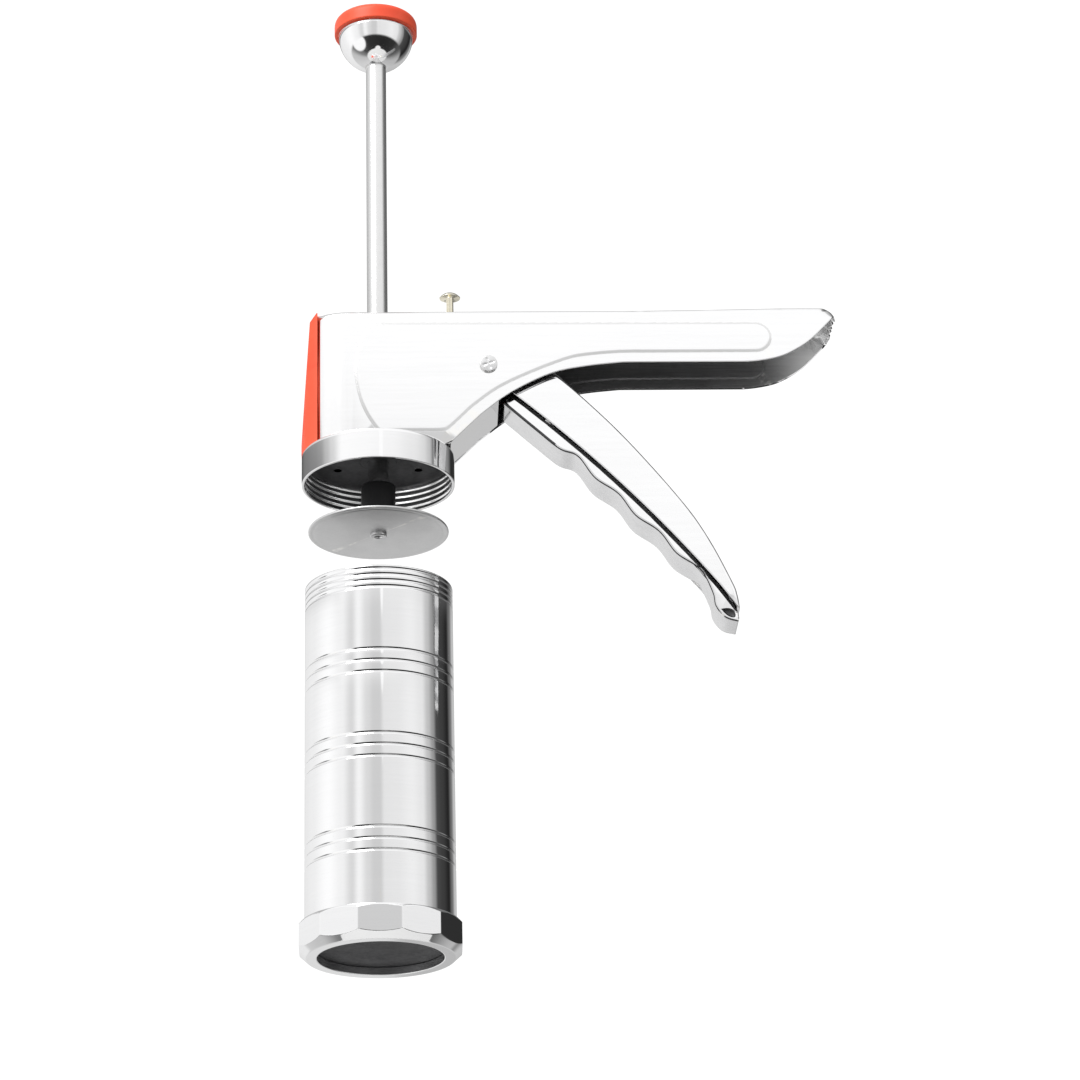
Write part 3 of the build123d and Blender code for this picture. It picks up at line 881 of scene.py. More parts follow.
@dataclass
class FoldedSheet:
    """Sheet piece: a shaped side, the web folded from part of its edge, and the other side where it has one.

    Sizes are in millimetres. The side's height is measured from the middle of the press.
    """

    name: str
    outline: Outline
    lines: list[Outline]
    height: Callable[[float, float], float]
    slot: Callable[[float, float], int]
    web: Outline
    thickness: float = 0.8
    web_steps: int = 8
    web_slot: int = 0
    inner_slot: int = 1
    sides: tuple[int, ...] = (-1, 1)
    web_shape: Optional[Callable[[float, float, float], tuple[float, float]]] = None
    bores: tuple = ()

    def flat(self) -> tuple[Outline, list[tuple[int, ...]]]:
        """Divides the side along its lines.

        Returns:
            Its points and faces, in the plane of the side.
        """
        points: list[Vector] = []
        edges: list[tuple[int, int]] = []
        for line, closed in [(self.outline, True), *((line, False) for line in self.lines)]:
            first = len(points)
            points += [Vector(p) for p in line]
            edges += [(i, i + 1) for i in range(first, len(points) - 1)]
            if closed:
                edges.append((len(points) - 1, first))
        loop = list(range(len(self.outline)))
        result = delaunay_2d_cdt(points, edges, [loop], 1, 1e-4)
        return [tuple(v) for v in result[0]], [tuple(f) for f in result[2]]

    def build(self, materials: Sequence[bpy.types.Material]) -> bpy.types.Object:
        """Makes the piece.

        Args:
            materials: Its materials, in slot order; the second is the inside.

        Returns:
            The piece.
        """
        flat_points, flat_faces = self.flat()
        points: list[tuple[float, float, float]] = []
        faces: list[tuple[int, ...]] = []
        slots: list[int] = []
        for side in self.sides:
            first = len(points)
            points += [(x, side * self.height(x, z), z) for x, z in flat_points]
            for face in flat_faces:
                cx = sum(flat_points[i][0] for i in face) / len(face)
                cz = sum(flat_points[i][1] for i in face) / len(face)
                faces.append(tuple(first + i for i in (face if side < 0 else reversed(face))))
                slots.append(self.slot(cx, cz))
        ends = (self.sides[0], self.sides[1] if len(self.sides) > 1 else 0)
        rows = []
        for x, z in self.web:
            half = self.height(x, z)
            row = []
            for k in range(self.web_steps + 1):
                share = k / self.web_steps
                y = half * (ends[0] + (ends[1] - ends[0]) * share)
                dx, dz = self.web_shape(x, y, z) if self.web_shape and 0 < k else (0.0, 0.0)
                row.append(len(points))
                points.append((x + dx, y, z + dz))
            rows.append(row)
        for a, b in zip(rows, rows[1:]):
            for k in range(self.web_steps):
                faces.append((a[k], a[k + 1], b[k + 1], b[k]))
                slots.append(self.web_slot)
        return self._thicken(points, faces, slots, materials)

    def _thicken(
        self,
        points: Sequence[Sequence[float]],
        faces: Sequence[Sequence[int]],
        slots: Sequence[int],
        materials: Sequence[bpy.types.Material],
    ) -> bpy.types.Object:
        """Joins the surface, turns it outwards and gives it its thickness.

        Args:
            points: Points of the surface, in millimetres.
            faces: Its faces.
            slots: Material slot of each face.
            materials: The materials.

        Returns:
            The piece.
        """
        mesh = bpy.data.meshes.new(self.name)
        mesh.from_pydata([tuple(v * MM for v in p) for p in points], [], [tuple(f) for f in faces])
        for material in materials:
            mesh.materials.append(material)
        mesh.polygons.foreach_set("material_index", slots)
        mesh.polygons.foreach_set("use_smooth", [True] * len(mesh.polygons))
        form = bmesh.new()
        form.from_mesh(mesh)
        bmesh.ops.remove_doubles(form, verts=form.verts, dist=4e-6)
        bmesh.ops.recalc_face_normals(form, faces=form.faces)
        lean = sum(
            f.normal.y * f.calc_area() * (1 if f.calc_center_median().y > 0 else -1) for f in form.faces
        )
        if lean < 0:
            bmesh.ops.reverse_faces(form, faces=form.faces)
        form.to_mesh(mesh)
        form.free()
        piece = plain_object(self.name, mesh)
        wall = piece.modifiers.new("wall", "SOLIDIFY")
        wall.thickness = self.thickness * MM
        wall.offset = -1.0
        wall.material_offset = self.inner_slot
        wall.use_even_offset = False
        cutters = [round_cutter(*bore) for bore in self.bores]
        for cutter in cutters:
            cut = piece.modifiers.new("bore", "BOOLEAN")
            cut.operation = "DIFFERENCE"
            cut.solver = "EXACT"
            cut.object = cutter
        weigh = piece.modifiers.new("flat faces stay flat", "WEIGHTED_NORMAL")
        weigh.keep_sharp = True
        weigh.weight = 60
        apply_modifiers(piece)
        for cutter in cutters:
            bpy.data.objects.remove(cutter)
        return piece


# ---- finishes -----------------------------------------------------------------------------
class ShaderTree:
    """Short calls for the nodes and links of a material, a world or a shader group."""

    def __init__(self, tree: bpy.types.NodeTree) -> None:
        """Clears the tree and keeps it."""
        self.tree = tree
        tree.nodes.clear()

    def add(self, kind: str, inputs: Optional[dict] = None, **settings: object) -> bpy.types.Node:
        """Adds a node.

        Args:
            kind: Blender's name for the node type.
            inputs: Values or sockets for its inputs, by name or number.
            settings: Settings of the node itself.

        Returns:
            The node.
        """
        node = self.tree.nodes.new(kind)
        for label, value in settings.items():
            setattr(node, label, value)
        for label, value in (inputs or {}).items():
            if isinstance(value, bpy.types.NodeSocket):
                self.tree.links.new(value, node.inputs[label])
            else:
                node.inputs[label].default_value = value
        return node

    def math(self, operation: str, *values: object) -> bpy.types.NodeSocket:
        """Result of a math node on up to three values or sockets."""
        return self.add("ShaderNodeMath", dict(enumerate(values)), operation=operation).outputs[0]

    def span(
        self, value: object, low: float, high: float, to_low: float = 0.0, to_high: float = 1.0
    ) -> bpy.types.NodeSocket:
        """Maps one range to another, smoothly and without overshoot.

        Args:
            value: The socket to map.
            low: Start of its range.
            high: End of its range.
            to_low: Result at the start.
            to_high: Result at the end.

        Returns:
            The mapped value.
        """
        inputs = {"Value": value, "From Min": low, "From Max": high, "To Min": to_low, "To Max": to_high}
        return self.add("ShaderNodeMapRange", inputs, interpolation_type="SMOOTHSTEP").outputs[0]

    def blend(self, share: object, first: object, second: object) -> bpy.types.NodeSocket:
        """Mixes two colours.

        Args:
            share: How much of the second colour.
            first: First colour or socket.
            second: Second colour or socket.

        Returns:
            The mixed colour.
        """
        node = self.add("ShaderNodeMix", {}, data_type="RGBA")
        for label, value in ((0, share), (6, first), (7, second)):
            if isinstance(value, bpy.types.NodeSocket):
                self.tree.links.new(value, node.inputs[label])
            else:
                node.inputs[label].default_value = value
        return node.outputs[2]


def shader_group(
    name: str, inputs: dict[str, str], outputs: Sequence[str]
) -> tuple[ShaderTree, dict, bpy.types.Node]:
    """Starts a shader node group.

    Args:
        name: Name of the group.
        inputs: Socket type of each named input.
        outputs: Names of its outputs, which are all values.

    Returns:
        The tree, its input sockets by name and its output node.
    """
    group = bpy.data.node_groups.new(name, "ShaderNodeTree")
    for label, kind in inputs.items():
        group.interface.new_socket(label, in_out="INPUT", socket_type=kind)
    for label in outputs:
        group.interface.new_socket(label, in_out="OUTPUT", socket_type="NodeSocketFloat")
    tree = ShaderTree(group)
    source = tree.add("NodeGroupInput")
    return tree, {label: source.outputs[label] for label in inputs}, tree.add("NodeGroupOutput")


class SharedEffects:
    """The shader groups that several finishes use."""

    def __init__(self) -> None:
        """Builds each group once."""
        self.marks = self._polish_marks()
        self.wear = self._edge_wear()
        self.smears = self._smears()

    @staticmethod
    def _polish_marks() -> bpy.types.NodeTree:
        """Group of fine marks that run one way, as a polishing wheel leaves them.

        Returns:
            The group.
        """
        kinds = {"Vector": "NodeSocketVector", "Lay": "NodeSocketVector", "Fineness": "NodeSocketFloat"}
        t, source, sink = shader_group("polish_marks", kinds, ("Streak", "Height"))
        drawn = t.add(
            "ShaderNodeVectorMath", {0: source["Vector"], 1: source["Lay"]}, operation="MULTIPLY"
        ).outputs[0]
        fine = t.add(
            "ShaderNodeTexNoise",
            {"Vector": drawn, "Scale": source["Fineness"], "Detail": 5.0, "Roughness": 0.7}
        )
        wide = t.math("MULTIPLY", source["Fineness"], 0.12)
        broad = t.add("ShaderNodeTexNoise", {"Vector": drawn, "Scale": wide, "Detail": 2.0})
        streak = t.math("MULTIPLY_ADD", broad.outputs[0], 0.35, t.math("MULTIPLY", fine.outputs[0], 0.65))
        t.tree.links.new(t.span(streak, 0.32, 0.68), sink.inputs["Streak"])
        t.tree.links.new(fine.outputs[0], sink.inputs["Height"])
        return t.tree

    @staticmethod
    def _edge_wear() -> bpy.types.NodeTree:
        """Group that finds the outer edges and breaks them up, as handling does.

        Returns:
            The group.
        """
        kinds = {"Vector": "NodeSocketVector", "Breakup": "NodeSocketFloat"}
        t, source, sink = shader_group("edge_wear", kinds, ("Wear",))
        edge = t.span(t.add("ShaderNodeNewGeometry").outputs["Pointiness"], 0.52, 0.62)
        patches = t.add(
            "ShaderNodeTexNoise", {"Vector": source["Vector"], "Scale": source["Breakup"], "Detail": 4.0}
        )
        t.tree.links.new(
            t.math("MULTIPLY", edge, t.span(patches.outputs[0], 0.35, 0.6)), sink.inputs["Wear"]
        )
        return t.tree

    @staticmethod
    def _smears() -> bpy.types.NodeTree:
        """Group of faint wiped patches and specks.

        Returns:
            The group.
        """
        kinds = {"Vector": "NodeSocketVector", "Size": "NodeSocketFloat"}
        t, source, sink = shader_group("wiped_smears", kinds, ("Smear", "Speck"))
        soft = {"Vector": source["Vector"], "Scale": source["Size"], "Detail": 3.0, "Distortion": 1.2}
        t.tree.links.new(
            t.span(t.add("ShaderNodeTexNoise", soft).outputs[0], 0.45, 0.75), sink.inputs["Smear"]
        )
        small = {
            "Vector": source["Vector"], "Scale": t.math("MULTIPLY", source["Size"], 26.0), "Detail": 1.0
        }
        t.tree.links.new(
            t.span(t.add("ShaderNodeTexNoise", small).outputs[0], 0.7, 0.78), sink.inputs["Speck"]
        )
        return t.tree


@dataclass(frozen=True)
class MetalFinish:
    """A worked metal surface."""

    name: str
    colour: tuple[float, float, float]
    deep: tuple[float, float, float]
    roughness: float
    spread: float
    lay: Lay
    fineness: float = 900.0
    relief: float = 0.05
    wear: tuple[float, float, float] = (0.96, 0.95, 0.93)
    buffed: Optional[tuple[float, float]] = None

    def make(self, effects: SharedEffects) -> bpy.types.Material:
        """Builds the material.

        Args:
            effects: The shared shader groups.

        Returns:
            The material.
        """
        material = bpy.data.materials.new(self.name)
        material.use_nodes = True
        t = ShaderTree(material.node_tree)
        place = t.add("ShaderNodeTexCoord").outputs["Object"]
        marks = t.add("ShaderNodeGroup", node_tree=effects.marks)
        wear = t.add("ShaderNodeGroup", node_tree=effects.wear)
        smears = t.add("ShaderNodeGroup", node_tree=effects.smears)
        for node in (marks, wear, smears):
            t.tree.links.new(place, node.inputs["Vector"])
        marks.inputs["Lay"].default_value = self.lay.value
        marks.inputs["Fineness"].default_value = self.fineness
        wear.inputs["Breakup"].default_value = 420.0
        smears.inputs["Size"].default_value = 38.0
        marked = t.blend(
            t.math("MULTIPLY", marks.outputs["Streak"], 0.5), (*self.colour, 1), (*self.deep, 1)
        )
        specked = t.blend(t.math("MULTIPLY", smears.outputs["Speck"], 0.25), marked, (*self.deep, 1))
        if self.buffed:
            # Painted light: towards the tail the colour is mixed to near white, for the outside light that
            # reaches the inside there.
            along = t.add("ShaderNodeSeparateXYZ", {0: place}).outputs["X"]
            specked = t.blend(t.span(along, *self.buffed), specked, (0.96, 0.96, 0.96, 1))
        colour = t.blend(wear.outputs["Wear"], specked, (*self.wear, 1)) if self.relief < 0.4 else specked
        rough = t.math("MULTIPLY_ADD", marks.outputs["Streak"], self.spread, self.roughness)
        rough = t.math("MULTIPLY_ADD", smears.outputs["Smear"], self.spread * 0.8, rough)
        bump = t.add(
            "ShaderNodeBump",
            {"Strength": self.relief, "Distance": 0.00002, "Height": marks.outputs["Height"]}
        )
        shader = t.add(
            "ShaderNodeBsdfPrincipled",
            {"Base Color": colour, "Metallic": 1.0, "Roughness": rough, "Normal": bump.outputs[0]},
        )
        t.tree.links.new(shader.outputs[0], t.add("ShaderNodeOutputMaterial").inputs[0])
        return material


@dataclass(frozen=True)
class MouldedFinish:
    """A moulded plastic or rubber surface."""

    name: str
    colour: tuple[float, float, float]
    shade: tuple[float, float, float]
    roughness: float
    grain: float = 2600.0
    relief: float = 0.12

    def make(self, effects: SharedEffects) -> bpy.types.Material:
        """Builds the material.

        Args:
            effects: The shared shader groups.

        Returns:
            The material.
        """
        material = bpy.data.materials.new(self.name)
        material.use_nodes = True
        t = ShaderTree(material.node_tree)
        place = t.add("ShaderNodeTexCoord").outputs["Object"]
        wear = t.add("ShaderNodeGroup", {"Vector": place, "Breakup": 300.0}, node_tree=effects.wear)
        smears = t.add("ShaderNodeGroup", {"Vector": place, "Size": 60.0}, node_tree=effects.smears)
        grain = t.add(
            "ShaderNodeTexNoise", {"Vector": place, "Scale": self.grain, "Detail": 3.0}
        ).outputs[0]
        mottled = t.blend(
            t.math("MULTIPLY", smears.outputs["Smear"], 0.45), (*self.colour, 1), (*self.shade, 1)
        )
        pale = tuple(min(1.0, c * 1.15 + 0.03) for c in self.colour)
        colour = t.blend(t.math("MULTIPLY", wear.outputs["Wear"], 0.6), mottled, (*pale, 1))
        rough = t.math("MULTIPLY_ADD", smears.outputs["Smear"], 0.12, self.roughness)
        bump = t.add("ShaderNodeBump", {"Strength": self.relief, "Distance": 0.00003, "Height": grain})
        shader = t.add(
            "ShaderNodeBsdfPrincipled",
            {
                "Base Color": colour, "Roughness": rough, "Normal": bump.outputs[0],
                "Specular IOR Level": 0.3
            },
        )
        t.tree.links.new(shader.outputs[0], t.add("ShaderNodeOutputMaterial").inputs[0])
        return material


class Finishes:
    """Every finish of the press, made once."""

    def __init__(self) -> None:
        """Builds the materials."""
        effects = SharedEffects()
        bright, grey = (0.95, 0.95, 0.955), (0.90, 0.90, 0.905)
        black = (0.030, 0.030, 0.032)
        iron = (0.10, 0.10, 0.102)
        # Near-black grey of the ceiling finish: painted shade.
        painted_shade_grey = (0.085, 0.085, 0.088)

        def metal(*facts: object, **more: object) -> bpy.types.Material:
            """Material of a metal finish, from the fields of MetalFinish."""
            return MetalFinish(*facts, **more).make(effects)

        def moulded(*facts: object, **more: object) -> bpy.types.Material:
            """Material of a moulded finish, from the fields of MouldedFinish."""
            return MouldedFinish(*facts, **more).make(effects)

        def even(level: float) -> tuple[float, float, float]:
            """A neutral grey."""
            return (level, level, level)

        # The grip's web gets a darker copy of the polished sheet: painted shade where the web faces down.
        self.web = metal("grip_web_painted_shade", (0.82, 0.82, 0.825), (0.66, 0.66, 0.665), 0.15, 0.09, Lay.ALONG_Z)
        self.groove = metal("groove_shade", iron, black, 0.40, 0.10, Lay.ALONG_X)
        self.sheet = metal("polished_sheet", bright, grey, 0.06, 0.03, Lay.ALONG_X, relief=0.02)
        # A greyer copy of the polished sheet for the narrow line round each panel: painted shade for the
        # panel's ramp.
        self.panel_line_painted_shade = metal("panel_line_painted_shade", even(0.80), even(0.72), 0.16, 0.06, Lay.NONE)
        # The inside's colour turns near white towards the tail: painted light from outside.
        self.inside = metal(
            "sheet_inside", (0.50, 0.50, 0.505), iron, 0.27, 0.16, Lay.ALONG_X, buffed=(0.135, 0.163)
        )
        self.barrel = metal("polished_barrel", bright, grey, 0.045, 0.02, Lay.ROUND_AXIS, relief=0.02)
        self.rod = metal("ground_rod", even(0.80), even(0.76), 0.17, 0.06, Lay.ROUND_AXIS, 1600.0)
        self.disc = metal("satin_disc", even(0.78), even(0.72), 0.32, 0.08, Lay.NONE, 1400.0)
        # Near-black steel for the collar's ceiling, the plate in the cap's mouth and the parts beside them:
        # painted shade on these downward faces.
        self.ceiling = metal(
            "painted_shade_ceiling", painted_shade_grey, (0.06, 0.06, 0.062), 0.55, 0.12, Lay.NONE, 700.0, wear=painted_shade_grey
        )
        self.satin = metal("satin_steel", (0.60, 0.60, 0.61), (0.42, 0.42, 0.43), 0.30, 0.15, Lay.ALONG_X)
        self.rivet = metal("struck_rivet", even(0.80), (0.56, 0.56, 0.57), 0.22, 0.12, Lay.NONE, 1500.0, 0.3)
        self.spring = metal("drawn_wire", (0.50, 0.50, 0.52), (0.30, 0.30, 0.32), 0.28, 0.15, Lay.ALONG_Z)
        self.brass = metal(
            "pale_brass", (0.97, 0.92, 0.76), (0.86, 0.78, 0.56), 0.10, 0.06, Lay.ROUND_AXIS,
            wear=(0.98, 0.96, 0.86),
        )
        self.red = moulded("red_plastic", (1.0, 0.115, 0.05), (0.88, 0.07, 0.03), 0.36)
        self.black = moulded("black_plastic", (0.018, 0.018, 0.02), even(0.03), 0.38)
        self.hub = moulded("hub_plastic", (0.008, 0.008, 0.009), even(0.012), 0.5)
        self.rubber = moulded("rubber", even(0.05), even(0.08), 0.62, relief=0.3)


# ---- the studio ---------------------------------------------------------------------------
def light_of(level: float) -> float:
    """Linear light of a display brightness from 0 to 255."""
    share = level / 255
    return share / 12.92 if share <= 0.04045 else ((share + 0.055) / 1.055) ** 2.4


@dataclass
class Studio:
    """Pale floor, camera and the soft boxes, flags and window that a polished surface mirrors.

    A bearing is in degrees from the left side of the press, and grows towards its handle.
    """

    eye: tuple[float, float, float] = (0.0052, -1.2337, -0.5133)
    heading: float = 2.417
    climb: float = 21.74
    tilt: float = -1.30
    lens: float = 124.8
    floor_z: float = -0.76
    floor_radius: float = 0.45
    floor_shift: float = 0.07
    softbox_size: float = 0.9
    softbox_watts: float = 14.0
    softbox_at: tuple[float, float, float] = (-0.7, -0.9, 1.1)
    low_band: tuple = (
        (-180, 215), (-150, 230), (-125, 236), (-85, 252), (-60, 240), (-43, 214), (-32, 242), (-18, 215),
        (-8, 203), (0, 203), (8, 226), (25, 228), (50, 236), (68, 228), (80, 190), (90, 150), (98, 70),
        (110, 60), (128, 35), (140, 110), (155, 190), (180, 180),
    )
    middle_band: tuple = (
        (-180, 60), (-140, 120), (-110, 130), (-96, 140), (-84, 177), (-73, 204), (-55, 250), (-20, 246),
        (20, 240), (53, 226), (73, 215), (84, 195), (94, 90), (108, 116), (125, 140), (145, 40), (180, 60),
    )
    high_band: tuple = (
        (-180, 150), (-120, 210), (-70, 250), (0, 255), (60, 250), (95, 120), (130, 100), (180, 140)
    )
    under_band: tuple = (
        (-180, 205), (-150, 205), (-120, 190), (-95, 120), (-70, 70), (-20, 45), (30, 38), (70, 45),
        (100, 80), (140, 180), (180, 205),
    )
    boxes_below: tuple = ((-68, -31, 25, 250), (14, -64, 9, 235))
    boxes_above: tuple = ((4.6, 22.6, 2.9, 252),)

    def build(self) -> None:
        """Builds everything that isn't the press."""
        self._camera()
        self._surroundings()
        self._floor()
        self._softbox()
        view = bpy.context.scene.view_settings
        view.view_transform = "Standard"
        view.look = "None"

    def _camera(self) -> None:
        """Makes the camera, low on the left side and looking up."""
        yaw, pitch, roll = (math.radians(a) for a in (self.heading, self.climb, self.tilt))
        ahead = Vector((math.sin(yaw) * math.cos(pitch), math.cos(yaw) * math.cos(pitch), math.sin(pitch)))
        level = Vector((math.cos(yaw), -math.sin(yaw), 0))
        up = level.cross(ahead)
        right = level * math.cos(roll) + up * math.sin(roll)
        top = up * math.cos(roll) - level * math.sin(roll)
        lens = bpy.data.cameras.new("camera")
        lens.lens = self.lens
        lens.sensor_width = 36.0
        lens.clip_start = 0.05
        camera = bpy.data.objects.new("camera", lens)
        rows = [(right[i], top[i], -ahead[i], self.eye[i]) for i in range(3)]
        camera.matrix_world = Matrix((*rows, (0, 0, 0, 1)))
        bpy.context.scene.collection.objects.link(camera)
        bpy.context.scene.camera = camera

    @staticmethod
    def _band(
        t: ShaderTree, turn: bpy.types.NodeSocket, band: Sequence[tuple[float, float]]
    ) -> bpy.types.NodeSocket:
        """Light round the horizon from a list of bearings and brightnesses.

        Args:
            t: The world's tree.
            turn: Bearing as a share of a turn.
            band: Bearings and brightnesses, in order.

        Returns:
            The light at that bearing.
        """
        ramp = t.add("ShaderNodeValToRGB", {0: turn})
        ramp.color_ramp.interpolation = "EASE"
        stops = ramp.color_ramp.elements
        while len(stops) < len(band):
            stops.new(0.5)
        for stop, (bearing, level) in zip(stops, band):
            stop.position = (bearing + 180) / 360
            value = light_of(level)
            stop.color = (value, value, value, 1)
        return ramp.outputs[0]

    @staticmethod
    def _boxes(t: ShaderTree, light: bpy.types.NodeSocket, boxes: Sequence[tuple]) -> bpy.types.NodeSocket:
        """Adds soft boxes to the light from one side.

        Args:
            t: The world's tree.
            light: Light without them.
            boxes: Bearing, rise, half width in degrees and brightness of each.

        Returns:
            The light with them.
        """
        way = t.add("ShaderNodeTexCoord").outputs["Generated"]
        for bearing, rise, reach_out, level in boxes:
            turn, up = math.radians(bearing), math.radians(rise)
            aim = (math.sin(turn) * math.cos(up), -math.cos(turn) * math.cos(up), math.sin(up))
            near = t.add("ShaderNodeVectorMath", {0: way, 1: aim}, operation="DOT_PRODUCT").outputs["Value"]
            edge, core = math.cos(math.radians(reach_out)), math.cos(math.radians(reach_out * 0.75))
            value = light_of(level)
            light = t.blend(t.span(near, edge, core), light, (value, value, value, 1))
        return light

    def _surroundings(self) -> None:
        """Makes the world: the light from each direction, and plain white where the camera sees it."""
        world = bpy.data.worlds.new("studio")
        bpy.context.scene.world = world
        world.use_nodes = True
        t = ShaderTree(world.node_tree)
        way = t.add("ShaderNodeSeparateXYZ", {0: t.add("ShaderNodeTexCoord").outputs["Generated"]})
        back = t.math("MULTIPLY", way.outputs["Y"], -1.0)
        turn = t.math("MULTIPLY_ADD", t.math("ARCTAN2", way.outputs["X"], back), 1 / math.tau, 0.5)
        rise = t.math("DEGREES", t.math("ARCSINE", way.outputs["Z"]))
        low, middle, high, under = (
            self._band(t, turn, band) for band in (
                self.low_band, self.middle_band, self.high_band, self.under_band
            )
        )
        light = t.blend(t.span(rise, -25.0, -18.0), self._boxes(t, under, self.boxes_below), low)
        light = t.blend(t.span(rise, 20.2, 22.6), light, middle)
        light = t.blend(t.span(rise, 22.9, 24.6), light, high)
        light = self._boxes(t, light, self.boxes_above)
        light = t.blend(t.span(rise, 50.0, 80.0), light, (0.95, 0.95, 0.95, 1))
        seen = t.add("ShaderNodeLightPath").outputs["Is Camera Ray"]
        light = t.blend(seen, light, (1, 1, 1, 1))
        shade = t.add("ShaderNodeBackground", {"Color": light, "Strength": 1.08})
        t.tree.links.new(shade.outputs[0], t.add("ShaderNodeOutputWorld").inputs[0])

    def _floor(self) -> None:
        """Makes the pale floor."""
        mesh = bpy.data.meshes.new("floor")
        rim = arc_points((0, 0), 1, 0, 354.375, 63)
        points = [
            (self.floor_radius * x + self.floor_shift, self.floor_radius * y, self.floor_z) for x, y in rim
        ]
        mesh.from_pydata(points, [], [tuple(range(len(points)))])
        material = bpy.data.materials.new("pale_floor")
        material.use_nodes = True
        t = ShaderTree(material.node_tree)
        place = t.add("ShaderNodeTexCoord").outputs["Object"]
        cloud = t.add("ShaderNodeTexNoise", {"Vector": place, "Scale": 6.0, "Detail": 4.0}).outputs[0]
        colour = t.blend(cloud, (0.84, 0.84, 0.84, 1), (0.88, 0.88, 0.87, 1))
        shader = t.add("ShaderNodeBsdfPrincipled", {"Base Color": colour, "Roughness": 0.7})
        t.tree.links.new(shader.outputs[0], t.add("ShaderNodeOutputMaterial").inputs[0])
        mesh.materials.append(material)
        plain_object("floor", mesh)

    def _softbox(self) -> None:
        """Makes the large soft light above and in front."""
        lamp = bpy.data.lights.new("softbox", "AREA")
        lamp.size = self.softbox_size
        lamp.energy = self.softbox_watts
        box = bpy.data.objects.new("softbox", lamp)
        box.location = self.softbox_at
        box.rotation_euler = (Vector((0, 0, 0)) - box.location).to_track_quat("-Z", "Y").to_euler()
        bpy.context.scene.collection.objects.link(box)


# ---- the press ----------------------------------------------------------------------------
def moved(piece: bpy.types.Object, matrix: Matrix) -> bpy.types.Object:
    """Moves a piece's mesh, so that the object itself stays at the origin.

    Args:
        piece: The piece.
        matrix: The move.

    Returns:
        The same piece.
    """
    piece.data.transform(matrix)
    piece.data.update()
    return piece


@dataclass
class Plunger:
    """Rod with its knob above and the piston below. Sizes in millimetres."""

    lathe: Lathe
    finishes: Finishes
    rod_radius: float = 3.75
    bore: float = 1.62
    knob_radius: float = 13.9
    knob_wall: float = 1.2
    cap_radius: float = 15.4

    def rod(self) -> bpy.types.Object:
        """Makes the rod, drilled for the piston screw.

        Returns:
            The rod.
        """
        low, high = (corner.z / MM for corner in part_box("plunger_rod"))
        corners = [
            (0, high, 0), (self.rod_radius, high, 0.4), (self.rod_radius, low, 0.4),
            (self.bore, low, 0.1), (self.bore, low + 9, 0.1), (0, low + 9.6, 0),
        ]
        piece = self.lathe.turn("rod", millimetres(turned_outline(corners, False)), self.finishes.rod, 72)
        return finish_piece(piece, Body.PLUNGER, ["plunger_rod"])

    def knob(self) -> list[bpy.types.Object]:
        """Makes the hollow half-ball and the moulded cap on it.

        Returns:
            The half-ball and the cap.
        """
        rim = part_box("knob_dome")[1].z / MM
        outer = arc_points((0, rim), self.knob_radius, -74.25, -1.2, 40)
        lip = arc_points((self.knob_radius - 0.45, rim - 0.45), 0.45, 5, 90, 6)
        inner = arc_points((0, rim), self.knob_radius - self.knob_wall, -1.0, -72.7, 24)
        dome = self.lathe.turn(
            "knob_ball", millimetres([*outer, *lip, *inner, outer[0]]), self.finishes.sheet, 144
        )
        low, high = (corner.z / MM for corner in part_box("knob_cap"))
        plug = self.knob_radius - self.knob_wall - 0.6
        corners = [
            (0, high, 0), (self.cap_radius, high, 3.0), (self.cap_radius, rim + 0.02, 0.5),
            (plug, rim + 0.02, 0.2),
            (plug, low, 0.2), (plug - 1.5, low, 0.2), (plug - 1.5, rim + 0.6, 0.2), (0, rim + 0.6, 0),
        ]
        cap = self.lathe.turn(
            "knob_top", millimetres(turned_outline(corners, False, 8)), self.finishes.red, 144
        )
        return [
            finish_piece(dome, Body.PLUNGER, ["knob_dome"]), finish_piece(cap, Body.PLUNGER, ["knob_cap"])
        ]

    def piston(self) -> list[bpy.types.Object]:
        """Makes the hub, the disc with its turned rim and the screw that holds them.

        Returns:
            The disc, the hub and the screw.
        """
        disc_low, disc_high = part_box("piston_disc")
        low, high, radius = disc_low.z / MM, disc_high.z / MM, disc_high.x / MM
        rim = arc_points((radius - 0.5, (low + high) / 2), 0.5, -88, 88, 10)
        face = [
            (self.bore, low), (self.bore + 0.2, low), (self.bore + 1.2, low), (radius - 2.5, low),
            (radius - 2.2, low), (radius - 1.7, low + 0.12), (radius - 1.2, low + 0.02)
        ]
        back = [
            (radius - 0.9, high), (radius - 1.4, high), (self.bore + 0.3, high), (self.bore, high),
            (self.bore, low)
        ]
        outline = [*face, *rim, *back]
        disc = self.lathe.turn("piston_plate", millimetres(outline), self.finishes.disc, 160)
        top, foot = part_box("piston_hub")[1].z / MM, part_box("piston_hub")[0].z / MM
        hub_corners = [(3.77, top, 0.1), (6.1, top, 0.7), (6.1, foot, 0.15), (3.77, foot, 0.1)]
        hub = self.lathe.turn(
            "piston_boss", millimetres(turned_outline(hub_corners, True)), self.finishes.hub, 96
        )
        seat, end = low - 0.02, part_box("piston_screw")[0].z / MM
        screw_corners = [
            (0, seat + 9.9, 0), (1.6, seat + 9.9, 0.3), (1.6, seat, 0.05), (3.0, seat, 0.1),
            (3.0, end, 0.5),
            (1.5, end, 0.12), (1.2, end + 0.7, 0.1), (0, end + 0.8, 0),
        ]
        screw = self.lathe.turn(
            "piston_bolt", millimetres(turned_outline(screw_corners, False)), self.finishes.rivet, 72
        )
        return [
            finish_piece(disc, Body.PLUNGER, ["piston_disc"]),
            finish_piece(hub, Body.PLUNGER, ["piston_hub"]),
            finish_piece(screw, Body.PLUNGER, ["piston_screw"]),
        ]


